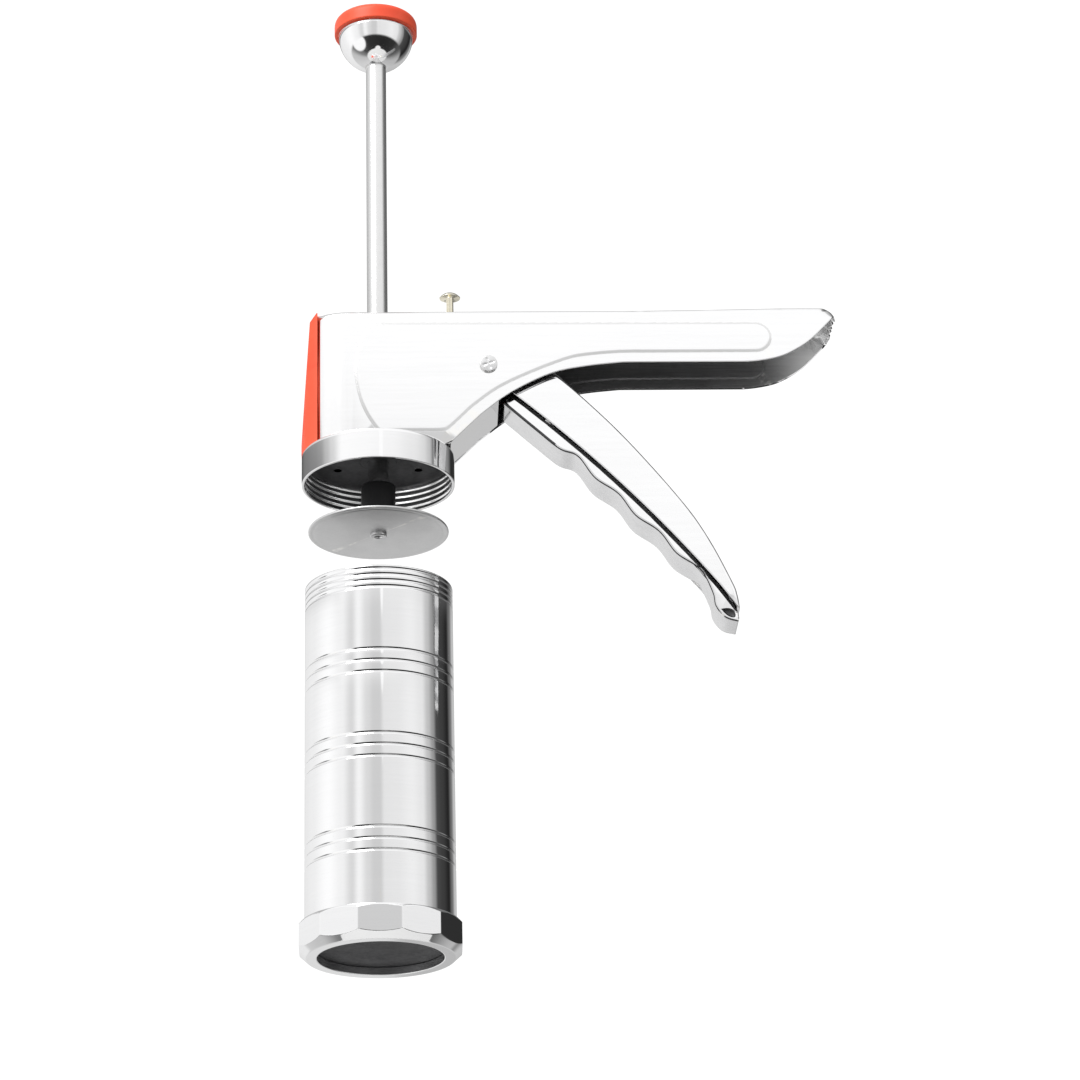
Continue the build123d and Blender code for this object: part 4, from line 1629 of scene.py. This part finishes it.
@dataclass
class Barrel:
    """Tube with a rolled thread at its top end and rolled beads. Sizes in millimetres."""

    lathe: Lathe
    finishes: Finishes
    radius: float = 26.0
    wall: float = 0.8
    bead_depth: float = 0.34
    bead_half: float = 0.72
    bead_spacing: float = 4.1
    bead_sets: tuple = (-74.7, -105.1, -138.4)

    def beads(self) -> Outline:
        """Outline of the outer wall between the threads, from the bottom up.

        Returns:
            Points of the wall, bead by bead.
        """
        wall: Outline = []
        for middle in sorted(self.bead_sets):
            for i in (-1, 0, 1):
                centre = middle + i * self.bead_spacing
                for k in range(-12, 13):
                    share = k / 12
                    dip = self.bead_depth * (0.5 + 0.5 * math.cos(math.pi * share)) ** 1.3
                    lift = 0.05 * math.exp(-((abs(share) - 1.0) / 0.25) ** 2)
                    wall.append((self.radius - dip + min(lift, 0.0), centre + share * self.bead_half))
        return wall

    def build(self) -> bpy.types.Object:
        """Makes the tube.

        Returns:
            The piece.
        """
        low, high = (corner.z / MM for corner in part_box("barrel_tube"))
        inner = self.radius - self.wall
        outline = [
            (inner, low + 0.15), (inner + 0.15, low), (self.radius - 0.2, low), (self.radius, low + 0.2),
            (self.radius, low + 7), *self.beads(), (self.radius, high - 10), (self.radius, high - 0.3),
            (self.radius - 0.1, high - 0.08), (self.radius - 0.3, high), (inner + 0.25, high),
            (inner, high - 0.2),
            (inner, low + 0.15),
        ]
        thread = Thread(self.radius * MM, (high - 9.0) * MM, (high - 0.5) * MM, groove=(high - 1.2) * MM)
        piece = self.lathe.turn(
            "barrel_wall", millimetres(outline), self.finishes.barrel, 192, thread=thread
        )
        return finish_piece(piece, Body.BARREL, ["barrel_tube"])


@dataclass
class ScrewCap:
    """Twelve-sided screw cap with the plate and the washer in it. Sizes in millimetres."""

    lathe: Lathe
    finishes: Finishes
    sides: int = 12
    apothem: float = 27.7
    mouth: float = 21.65
    lip: float = 2.9
    thread_radius: float = 26.3

    def build(self) -> list[bpy.types.Object]:
        """Makes the cap, the plate and the washer.

        Returns:
            The pieces.
        """
        low, high = (corner.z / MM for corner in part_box("end_cap"))
        corner = self.apothem / math.cos(math.pi / self.sides)
        corners = [
            (self.mouth, low, 0.3), (25.5, low, 0.3), (corner, low + 3.0, 0.2), (corner, high - 1.4, 0.2),
            (27.4, high, 0.25), (self.thread_radius, high, 0.15), (self.thread_radius, low + self.lip, 0.2),
            (self.mouth, low + self.lip, 0.2),
        ]
        thread = Thread(
            self.thread_radius * MM, (high - 7.5) * MM, (high - 0.4) * MM, (high - 1.5) * MM,
            depth=-0.4 * MM
        )
        cap = self.lathe.turn(
            "screw_cap", millimetres(turned_outline(corners, True)), self.finishes.barrel, 288, thread,
            (self.sides, self.apothem * MM, 0.10 * MM), (low * MM, high * MM, 0.16 * MM),
        )
        return [finish_piece(cap, Body.CAP, ["end_cap"]), *self.inserts()]

    def inserts(self) -> list[bpy.types.Object]:
        """Makes the plate that closes the mouth and the washer above it.

        Returns:
            The plate and the washer.
        """
        plate_low, plate_high = (corner.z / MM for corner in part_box("die_plate"))
        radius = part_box("die_plate")[1].x / MM
        corners = [
            (0, plate_high, 0), (radius, plate_high, 0.25), (radius, plate_low, 0.25), (0, plate_low, 0)
        ]
        # The plate in the cap's mouth gets the near-black ceiling finish: painted shade.
        plate = self.lathe.turn(
            "mouth_plate", millimetres(turned_outline(corners, False)), self.finishes.ceiling, 128
        )
        low, high = (corner.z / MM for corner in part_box("sealing_washer"))
        ring = [
            (self.mouth + 1, low, 0.3), (radius, low, 0.3), (radius, high, 0.3), (self.mouth + 1, high, 0.3)
        ]
        washer = self.lathe.turn(
            "soft_washer", millimetres(turned_outline(ring, True)), self.finishes.rubber, 128
        )
        return [
            finish_piece(plate, Body.DIE_STACK, ["die_plate"]),
            finish_piece(washer, Body.DIE_STACK, ["sealing_washer"]),
        ]


@lru_cache(maxsize=1)
def tail_end() -> float:
    """Where the handle ends, in millimetres, with room for the fold of the sheet."""
    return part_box("left_side_shell")[1].x / MM - 0.35


@dataclass
class Head:
    """Pressed shells, their cover and collar, and what they hold. Sizes in millimetres."""

    lathe: Lathe
    finishes: Finishes
    rivet_reach: tuple[float, float] = (14.5, 7.0)
    collar_radius: float = 27.25
    thread_radius: float = 26.3
    half_width: float = 12.5
    front_half: float = 8.7
    front_x: float = -21.5
    nose_x: float = -10.0
    top_round: float = 2.0
    panel_raise: float = 0.18
    panel_ramp: float = 1.3
    rod_hole: float = 5.52
    pin_hole: float = 1.57
    pin_x: float = 26.4
    pivot_at: Point = (39.7, 41.9)
    pivot_hole: float = 2.57
    pivot_head: float = 2.9
    cross_width: float = 0.42
    cross_reach: float = 1.7
    cross_depth: float = 0.24
    crown_rise: float = 0.12

    def collar(self) -> list[bpy.types.Object]:
        """Makes the threaded collar, the plate in its ceiling and the rivets through both.

        Returns:
            The three pieces.
        """
        low, high = (corner.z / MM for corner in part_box("threaded_collar"))
        corners = [
            (9.0, high, 0.1), (9.5, high, 0), (14.0, high, 0), (20.0, high, 0),
            (self.collar_radius - 1.4, high, 0),
            (self.collar_radius, high, 0.9), (self.collar_radius, low, 0.3),
            (self.thread_radius, low, 0.3), (self.thread_radius, high - 1.0, 0.2), (9.0, high - 1.0, 0.1),
        ]
        thread = Thread(
            self.thread_radius * MM, (low - 0.3) * MM, (low + 8.6) * MM, 0.5 * MM, depth=-0.4 * MM
        )
        outline = millimetres(turned_outline(corners, True, 6))
        collar = self.lathe.turn("collar", outline, self.finishes.barrel, 192, thread)
        plate_low, plate_high = (corner.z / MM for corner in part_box("base_plate"))
        ring = [
            (6.53, plate_low, 0.2), (self.thread_radius - 0.1, plate_low, 0.3),
            (self.thread_radius - 0.1, plate_high, 0.1), (6.53, plate_high, 0.1),
        ]
        ring.insert(1, (self.thread_radius - 2.4, plate_low, 0))
        # The ceiling plate gets the near-black ceiling finish: painted shade.
        lining = self.lathe.turn(
            "ceiling_plate", millimetres(turned_outline(ring, True)), self.finishes.ceiling, 128
        )
        edge = (self.thread_radius - 2.5) * MM
        finishes = [self.finishes.ceiling, self.finishes.black]
        paint(lining, finishes, lambda centre, normal: int(centre.xy.length > edge))
        rivet_low, rivet_high = (corner.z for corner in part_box("base_rivets"))
        shank = rivet_high - rivet_low - 0.9 * MM
        across, aside = (reach_out * MM for reach_out in self.rivet_reach)
        middle = rivet_low + shank / 2
        places = [Vector((x * across, y * aside, middle)) for x in (-1, 1) for y in (-1, 1)]
        # The rivets get the same painted shade as the ceiling.
        rivets = self.lathe.rivet_set(
            "collar_rivets", places, 1.5 * MM, shank, 2.4 * MM, (0, 0, 0), self.finishes.ceiling
        )
        return [
            finish_piece(collar, Body.HEAD, ["threaded_collar"]),
            finish_piece(lining, Body.HEAD, ["base_plate"]),
            finish_piece(outward(rivets), Body.HEAD, ["base_rivets"]),
        ]

    def springs(self) -> list[bpy.types.Object]:
        """Winds the two springs inside the head.

        Returns:
            The two springs.
        """
        made = []
        facts = (
            ("lifting_coil", "drive_spring", 0.6, 7, "grip_plate_slide", 0.40),
            ("lock_coil", "lock_spring", 0.3, 4, "release_slide", 0.47),
        )
        for name, node, wire, turns, joint, keep in facts:
            piece = self.lathe.coil(name, node, wire * MM, turns, self.finishes.spring)
            finish_piece(piece, Body.HEAD, [node])
            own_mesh(piece)
            made.append(piece)
        return made

    def side_outline(self) -> tuple[Outline, Outline]:
        """Outline of a shell's side and the top part of it, which carries the web.

        Returns:
            The closed outline, clockwise from the front of the top, and the top part.
        """
        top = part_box("upper_guide_bush")[1].z / MM
        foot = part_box("left_side_shell")[0].z / MM
        end = tail_end()
        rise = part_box("left_side_shell")[1].z / MM - top
        ridge = spaced([(self.front_x, top), (95.0, top)], 3.0)
        ridge += smooth_through(
            [(95.0, top), (120.0, top + 0.42 * rise), (145.0, top + rise), (end - 4.0, top + rise * 0.95)], 8
        )[1:]
        ridge += smooth_through(
            [(end - 4.0, top + rise * 0.95), (end - 1.4, top - 0.9), (end, top - 2.2)], 5
        )[1:]
        tail = smooth_through(
            [
                (end, top - 2.2), (end - 4.6, top - 7.3), (end - 10.3, top - 12.9), (end - 16.4, top - 16.9),
                (end - 21.4, top - 19.1), (end - 27.5, top - 20.4), (133.0, top - 20.9),
            ],
            6,
        )
        belly = spaced([(133.0, top - 20.9), (88.0, top - 20.9)], 3.0)
        flank = smooth_through(
            [
                (88.0, top - 20.9), (74.5, top - 22.4), (61.7, top - 25.3), (47.2, top - 32.8),
                (36.4, top - 41.3),
            ],
            8,
        )
        foot_line = spaced([(36.4, top - 41.3), (25.6, foot), (self.front_x, foot)], 2.0)
        front = spaced([(self.front_x, foot), (self.front_x, top)], 2.0)
        outline = [*ridge, *tail[1:], *belly[1:], *flank[1:], *foot_line[1:], *front[1:-1]]
        return outline, ridge

    @staticmethod
    @lru_cache(maxsize=1)
    def panel_line() -> Outline:
        """Closed line round the raised panel of a side, with its first point repeated.

        Returns:
            The closed line.
        """
        line = spaced([(1.5, 58.1), (136.0, 57.6)], 4.0)
        line += arc_points((136.0, 52.2), 5.4, 90, -90, 16)[1:]
        line += spaced([(136.0, 46.8), (88.0, 46.8)], 4.0)[1:]
        line += smooth_through(
            [(88.0, 46.8), (76.5, 45.9), (66.0, 43.6), (45.0, 34.2), (32.9, 25.2)], 6
        )[1:]
        line += smooth_through([(32.9, 25.2), (25.6, 17.9), (23.0, 16.6), (20.0, 16.5)], 4)[1:]
        line += spaced([(20.0, 16.5), (2.5, 16.5)], 4.0)[1:]
        line += smooth_through(
            [(2.5, 16.5), (-0.4, 17.6), (-5.6, 27.5), (-7.8, 40.8), (-5.6, 52.0), (-2.6, 56.9), (1.5, 58.1)],
            7,
        )[1:]
        return line

    def shell_height(self, x: float, z: float, ridge: Outline, panel: Outline, free: Outline) -> float:
        """Distance of a point of the side from the middle of the press.

        Args:
            x: Its place along the handle.
            z: Its height.
            ridge: Top part of the outline.
            panel: Line round the raised panel.
            free: The rest of the outline, with its thin rolled edge.

        Returns:
            The distance, in millimetres.
        """
        half = self.half_width
        if x < self.nose_x:
            share = (self.nose_x - x) / (self.nose_x - self.front_x)
            half -= (self.half_width - self.front_half) * share * share
        end = tail_end()
        if x > end - 3.0:
            half -= 3.0 - math.sqrt(max(0.0, 9.0 - (x - end + 3.0) ** 2))
        half -= rounding(reach((x, z), ridge), self.top_round)
        half -= rounding(reach((x, z), free), 0.25)
        away = reach((x, z), panel)
        inside = point_inside((x, z), panel)
        raised = ease(0.5 + (away if inside else -away) / self.panel_ramp)
        return half + self.panel_raise * raised

    def shells(self) -> list[bpy.types.Object]:
        """Makes the two pressed shells, each with its raised panel, rounded top and crimped tail.

        Returns:
            The left and the right shell.
        """
        outline, ridge = self.side_outline()
        panel = self.panel_line()
        free = outline[len(ridge) - 1:]
        loop = [*outline, outline[0]]
        round_rows = (0.12, 0.45, 0.95, 1.5, 2.0, 2.4)
        lines = [trimmed(shifted(loop, -d)[:len(ridge)], outline, d * 0.98) for d in round_rows]
        lines += [trimmed(shifted(loop, -d), outline, d * 0.98) for d in (0.06, 0.14, 0.25, 0.45)]
        ramp_rows = (-0.7, -0.5, -0.3, -0.12, 0.06, 0.24, 0.42, 0.5, 0.7)
        lines += [shifted(panel, d * self.panel_ramp) for d in ramp_rows]
        for x in (self.nose_x + 1.5, self.nose_x, *(self.nose_x - 0.8 * i for i in range(1, 14))):
            lines.append([(x, 12.2), (x, 61.0)])
        lines = [line for line in lines if len(line) > 1]
        height = {}

        def level(x: float, z: float) -> float:
            """Height of the side at a point, worked out once.

            Args:
                x: Place along the handle.
                z: Height.

            Returns:
                How far the side stands out.
            """
            key = (round(x, 4), round(z, 4))
            if key not in height:
                height[key] = self.shell_height(x, z, ridge, panel, free)
            return height[key]

        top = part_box("upper_guide_bush")[1].z / MM
        bores = (
            ((0, 0, top), "Z", self.rod_hole, 4.0),
            ((self.pin_x, 0, top), "Z", self.pin_hole, 4.0),
            ((self.pivot_at[0], 0, self.pivot_at[1]), "Y", self.pivot_hole, 40.0),
        )
        made = []
        sides = ((-1, "left_shell", "left_side_shell"), (1, "right_shell", "right_side_shell"))
        for side, name, node in sides:
            sheet = FoldedSheet(
                name, outline, lines, level, self.line_slot, ridge, sides=(side,), web_steps=10,
                web_shape=self.crimp, bores=bores,
            )
            piece = sheet.build([self.finishes.sheet, self.finishes.inside, self.finishes.panel_line_painted_shade])
            made.append(finish_piece(piece, Body.HEAD, [node]))
        return made

    def line_slot(self, x: float, z: float) -> int:
        """Slot of a face of the side: the narrow line round the panel gets a greyer metal, painted shade for
        the panel's ramp.
        """
        return 2 if reach((x, z), self.panel_line()) < 0.32 * self.panel_ramp else 0

    def crimp(self, x: float, y: float, z: float) -> tuple[float, float]:
        """Small folds of the tail, where the sheet is gathered: how far a point moves along and down.

        Args:
            x: Place along the handle.
            y: Place across it.
            z: Height, which is not used.

        Returns:
            How far along and how far down.
        """
        end = tail_end()
        share = ease((x - end + 4.5) / 3.5)
        fold = 0.5 + 0.5 * math.sin(y * 1.9 + 0.8 * math.sin(y * 0.9))
        return -0.55 * share * fold, -0.35 * share * (1 - fold)

    def fittings(self) -> list[bpy.types.Object]:
        """Makes the sloping plate, the moulded cover and the pivot.

        Returns:
            The plate, the cover and the pivot.
        """
        plate = pressed_copy("sloping_plate", "underside_plate", 0.15 * MM, [self.finishes.sheet])
        cover = pressed_copy("nose_cover", "front_cover", 0.3 * MM, [self.finishes.red])
        return [
            finish_piece(plate, Body.HEAD, ["underside_plate"]),
            finish_piece(cover, Body.HEAD, ["front_cover"]),
            self.pivot(),
        ]

    def pivot(self) -> bpy.types.Object:
        """Makes the rivet that the trigger turns on, with the cross struck into each head.

        Returns:
            The rivet.
        """
        low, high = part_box("pivot_rivet")
        end = high.y / MM
        place = ((low.x + high.x) / 2, 0, (low.z + high.z) / 2)
        face = [(r * 0.15, end) for r in range(0, 19)]
        half = [
            *face, (2.85, end), (3.1, end - 0.12), (3.2, end - 0.35), (3.2, end - 0.88), (2.9, end - 0.9),
            (2.5, end - 0.9), (2.5, end - 1.2),
        ]
        outline = [*half, *((r, -z) for r, z in reversed(half))]
        piece = self.lathe.turn("pivot", millimetres(outline), self.finishes.rivet, 96)
        for point in piece.data.vertices:
            x = (point.co.x * 0.94 + point.co.y * 0.34) / MM
            y = (point.co.y * 0.94 - point.co.x * 0.34) / MM
            out = math.hypot(x, y)
            if abs(point.co.z) < (end - 0.05) * MM or out > self.pivot_head:
                continue
            across = math.exp(-((min(abs(x), abs(y)) / self.cross_width) ** 2))
            arm = across * (1 - ease((out - self.cross_reach) / 0.9))
            crown = self.crown_rise * (1 - (out / self.pivot_head) ** 2)
            sink = self.cross_depth * arm + self.crown_rise - crown
            point.co.z -= math.copysign(sink * MM, point.co.z)
        turn = Matrix.Translation(Vector(place)) @ Matrix.Rotation(math.pi / 2, 4, "X")
        return finish_piece(moved(piece, turn), Body.HEAD, ["pivot_rivet"])


@dataclass
class Trigger:
    """Folded lever with the finger grip inside it. Sizes in millimetres."""

    lathe: Lathe
    finishes: Finishes
    lever_half: float = 9.4
    grip_half: float = 8.0
    tip_half: float = 6.9
    pivot: Point = (39.7, 41.9)
    boss: float = 7.5
    arm_tip: Point = (12.31, 47.72)
    root: Point = (48.1, 32.3)
    tip: Point = (125.7, -50.0)
    groove: float = 1.05
    groove_depth: float = 0.8
    dimple_depth: float = 0.9
    back_round: float = 1.3
    pivot_hole: float = 2.57

    def front_edge(self) -> Outline:
        """Front edge of the lever's side, from its root to its tip."""
        return [*arc_through(self.root, (87.9, -4.9), (119.9, -41.9), 44), (122.8, -45.9), self.tip]

    def back_edge(self) -> Outline:
        """Back edge of the lever, from its tip to the head.

        Returns:
            Points of the edge.
        """
        line = [
            (126.6, -50.6), (125.9, -45.3), (124.2, -40.2), (116.6, -24.0), (107.0, -8.8), (86.4, 16.9),
            (64.4, 39.7),
        ]
        return [*smooth_through(line, 9), (58.2, 44.9), (52.0, 50.0)]

    def lever(self) -> bpy.types.Object:
        """Makes the lever: two sides, the web along its back and the arms inside the head.

        Returns:
            The lever.
        """
        front, back = self.front_edge(), self.back_edge()
        arms = [
            *arc_points(self.pivot, self.boss, 75, 125, 8),
            *arc_points(self.arm_tip, 3.0, 78, 258, 12),
            *arc_points(self.pivot, self.boss, 192, 304, 14),
        ]
        outline = [*front, *back, *arms]
        lines = [trimmed(shifted(back, d), outline, d * 0.9) for d in (0.1, 0.35, 0.7, 1.1, 1.3, 1.6)]
        lines += [trimmed(shifted(front, d), outline, d * 0.9) for d in (0.06, 0.15, 0.3, 0.5)]
        lines = [line for line in lines if len(line) > 1]

        def height(x: float, z: float) -> float:
            """Distance of the lever's side from the middle."""
            fallen = rounding(reach((x, z), back), self.back_round)
            return self.lever_half - fallen - rounding(reach((x, z), front), 0.3)

        sheet = FoldedSheet(
            "lever", outline, lines, height, lambda x, z: 0, back, thickness=1.0, web_steps=14,
            bores=(((self.pivot[0], 0, self.pivot[1]), "Y", self.pivot_hole, 40.0),),
        )
        piece = sheet.build([self.finishes.sheet, self.finishes.inside])
        return finish_piece(piece, Body.TRIGGER, ["trigger_lever"])

    def grip_edge(self) -> Outline:
        """Front edge of the grip: a straight start, the finger scallops and the hooked end.

        Returns:
            Points of the edge.
        """
        along, out = Vector((0.695, -0.7186)), Vector((-0.7186, -0.695))
        start = Vector(self.root)
        points = [start + out * 4.8, start + along * 16 + out * 3.9, start + along * 27 + out * 3.0]
        points += [start + along * (33.5 + 10.1 * i) + out * (2.0 if i % 2 else 0.4) for i in range(7)]
        line = [tuple(p) for p in points]
        return smooth_through([*line, (117.2, -44.0), (118.2, -49.2), (121.4, -53.4), (126.0, -54.9)], 8)

    def grip_height(self, x: float, z: float, edge: Outline, lever: Outline, hollow: Outline) -> float:
        """Distance of a point of the grip's side from the middle.

        Args:
            x: Its place along the handle.
            z: Its height.
            edge: Front edge of the grip.
            lever: Closed outline of the lever's side.
            hollow: Closed line round the dimple at the tip.

        Returns:
            The distance, in millimetres.
        """
        half = self.grip_half - (self.grip_half - self.tip_half) * max(0.0, (x - 112) / 16)
        half -= rounding(reach((x, z), edge), 0.6)
        if point_inside((x, z), lever):
            half -= self.groove_depth
        else:
            past = reach((x, z), self.front_edge()) - self.groove
            half -= self.groove_depth * (1 - ease((past + 0.15) / 0.3))
        if point_inside((x, z), hollow):
            half -= self.dimple_depth * ease(reach((x, z), hollow) / 0.7)
        return half

    def grip(self) -> bpy.types.Object:
        """Makes the grip, with the groove beside the lever and the dimple at its tip.

        Returns:
            The grip.
        """
        edge = self.grip_edge()
        end = smooth_through([(126.0, -54.9), (126.3, -53.6), (125.9, -51.0), (125.2, -49.6)], 4)
        back = [*end, *spaced([(125.2, -49.6), (121.5, -40.5)], 2.0)[1:]]
        back += [*arc_through((121.5, -40.5), (90.8, -2.0), (51.5, 34.5), 40)[1:]]
        back += spaced([(51.5, 34.5), edge[0]], 2.0)[1:-1]
        outline = [*edge, *back[1:]]
        lever = [*self.front_edge(), *self.back_edge(), self.root]
        dimple = [(119.9, -50.4), (122.6, -50.0), (124.7, -51.0), (124.9, -53.4), (122.4, -53.0)]
        hollow = smooth_through([*dimple, dimple[0]], 4)
        lines = [trimmed(shifted(edge, d), outline, d * 0.97) for d in (0.06, 0.16, 0.3, 0.45, 0.6, 0.85)]
        lines.append(trimmed(shifted(edge[:17], 1.0), outline, 0.95))
        front = self.front_edge()
        groove_rows = (-0.05, 0.03, 0.9, 0.98, 1.06, 1.14, 1.22, 1.4)
        lines += [trimmed(shifted(front, -d), outline, 0.04) for d in groove_rows]
        lines += [hollow, shifted(hollow, -0.35), shifted(hollow, -0.7)]
        lines = [line for line in lines if len(line) > 1]

        def height(x: float, z: float) -> float:
            """Distance of the grip's side from the middle."""
            return self.grip_height(x, z, edge, lever, hollow)

        def slot(x: float, z: float) -> int:
            """Slot of a face: the groove, the turned edge and the dimple get the dark groove finish, painted
            shade in these hollows.

            Args:
                x: Place along the lever.
                z: Height.

            Returns:
                Number of the slot.
            """
            band = 0.85 if x < 63.5 else 0.32
            if reach((x, z), edge) < band or point_inside((x, z), hollow):
                return 1
            return int(not point_inside((x, z), lever) and reach((x, z), front) < self.groove)

        sheet = FoldedSheet(
            "finger_grip", outline, lines, height, slot, [*edge, *end[1:]], web_steps=14, web_slot=2
        )
        # Slots 1 and 2 carry painted shade: the dark groove finish and the darker web.
        piece = sheet.build([self.finishes.sheet, self.finishes.groove, self.finishes.web])
        return finish_piece(piece, Body.TRIGGER, ["trigger_grip"])

    def rivets(self) -> bpy.types.Object:
        """Makes the rivets that hold the grip between the lever's sides.

        Returns:
            The rivets.
        """
        places = [Vector((x * MM, 0, z * MM)) for x, z in ((61.5, 23.0), (112.0, -27.0))]
        turn = (math.pi / 2, 0, 0)
        piece = self.lathe.rivet_set(
            "grip_pins", places, 1.5 * MM, 16.7 * MM, 1.6 * MM, turn, self.finishes.rivet
        )
        return finish_piece(outward(piece), Body.TRIGGER, ["grip_rivets"])

    def build(self) -> list[bpy.types.Object]:
        """Makes the lever, its grip and the rivets between them."""
        return [self.lever(), self.grip(), self.rivets()]


@dataclass
class Release:
    """Mushroom-headed pin. Sizes in millimetres."""

    lathe: Lathe
    finishes: Finishes
    stem: float = 1.27
    head: float = 3.8
    dome: float = 4.6

    def build(self) -> bpy.types.Object:
        """Makes the pin.

        Returns:
            The piece.
        """
        low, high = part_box("release_pin")
        x = (low.x + high.x) / 2
        bottom, top = low.z / MM, high.z / MM
        crown = arc_points((0, top - self.dome), self.dome, 36.0, 89.9, 14)
        outline = [
            (0, bottom), (self.stem - 0.2, bottom), (self.stem, bottom + 0.2), (self.stem, top - 2.3),
            (self.stem + 0.15, top - 2.1), (self.head - 0.25, top - 2.1), (self.head - 0.05, top - 2.02),
            (self.head, top - 1.9), *crown,
            (0, top),
        ]
        piece = self.lathe.turn("press_pin", millimetres(outline), self.finishes.brass, 72)
        return finish_piece(moved(piece, Matrix.Translation((x, 0, 0))), Body.RELEASE, ["release_pin"])


def dress_hidden_nodes(finishes: Finishes) -> None:
    """Gives the frame's own meshes that stay in view their finishes.

    Args:
        finishes: The finishes.
    """
    choice = {
        "inner_frame": finishes.satin,
        # Painted shade: the lower bush takes the near-black ceiling finish.
        "lower_guide_bush": finishes.ceiling,
        "upper_guide_bush": finishes.satin,
        "lever_bush": finishes.satin,
        "grip_plate": finishes.satin,
        "lock_plate": finishes.satin,
        "release_pin_clip": finishes.spring,
        "knob_nut": finishes.satin,
    }
    for node, material in choice.items():
        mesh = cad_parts[node].data
        mesh.materials.clear()
        mesh.materials.append(material)


def main() -> None:
    """Builds the studio and the press, and reports each piece."""
    logging.basicConfig(level=logging.INFO, format="%(name)s: %(message)s")
    Studio().build()
    finishes = Finishes()
    lathe = Lathe(Trees())
    head = Head(lathe, finishes)
    head.collar()
    head.springs()
    head.shells()
    head.fittings()
    Trigger(lathe, finishes).build()
    Release(lathe, finishes).build()
    plunger = Plunger(lathe, finishes)
    plunger.rod()
    plunger.knob()
    plunger.piston()
    Barrel(lathe, finishes).build()
    ScrewCap(lathe, finishes).build()
    dress_hidden_nodes(finishes)


if __name__ == "__main__":
    main()
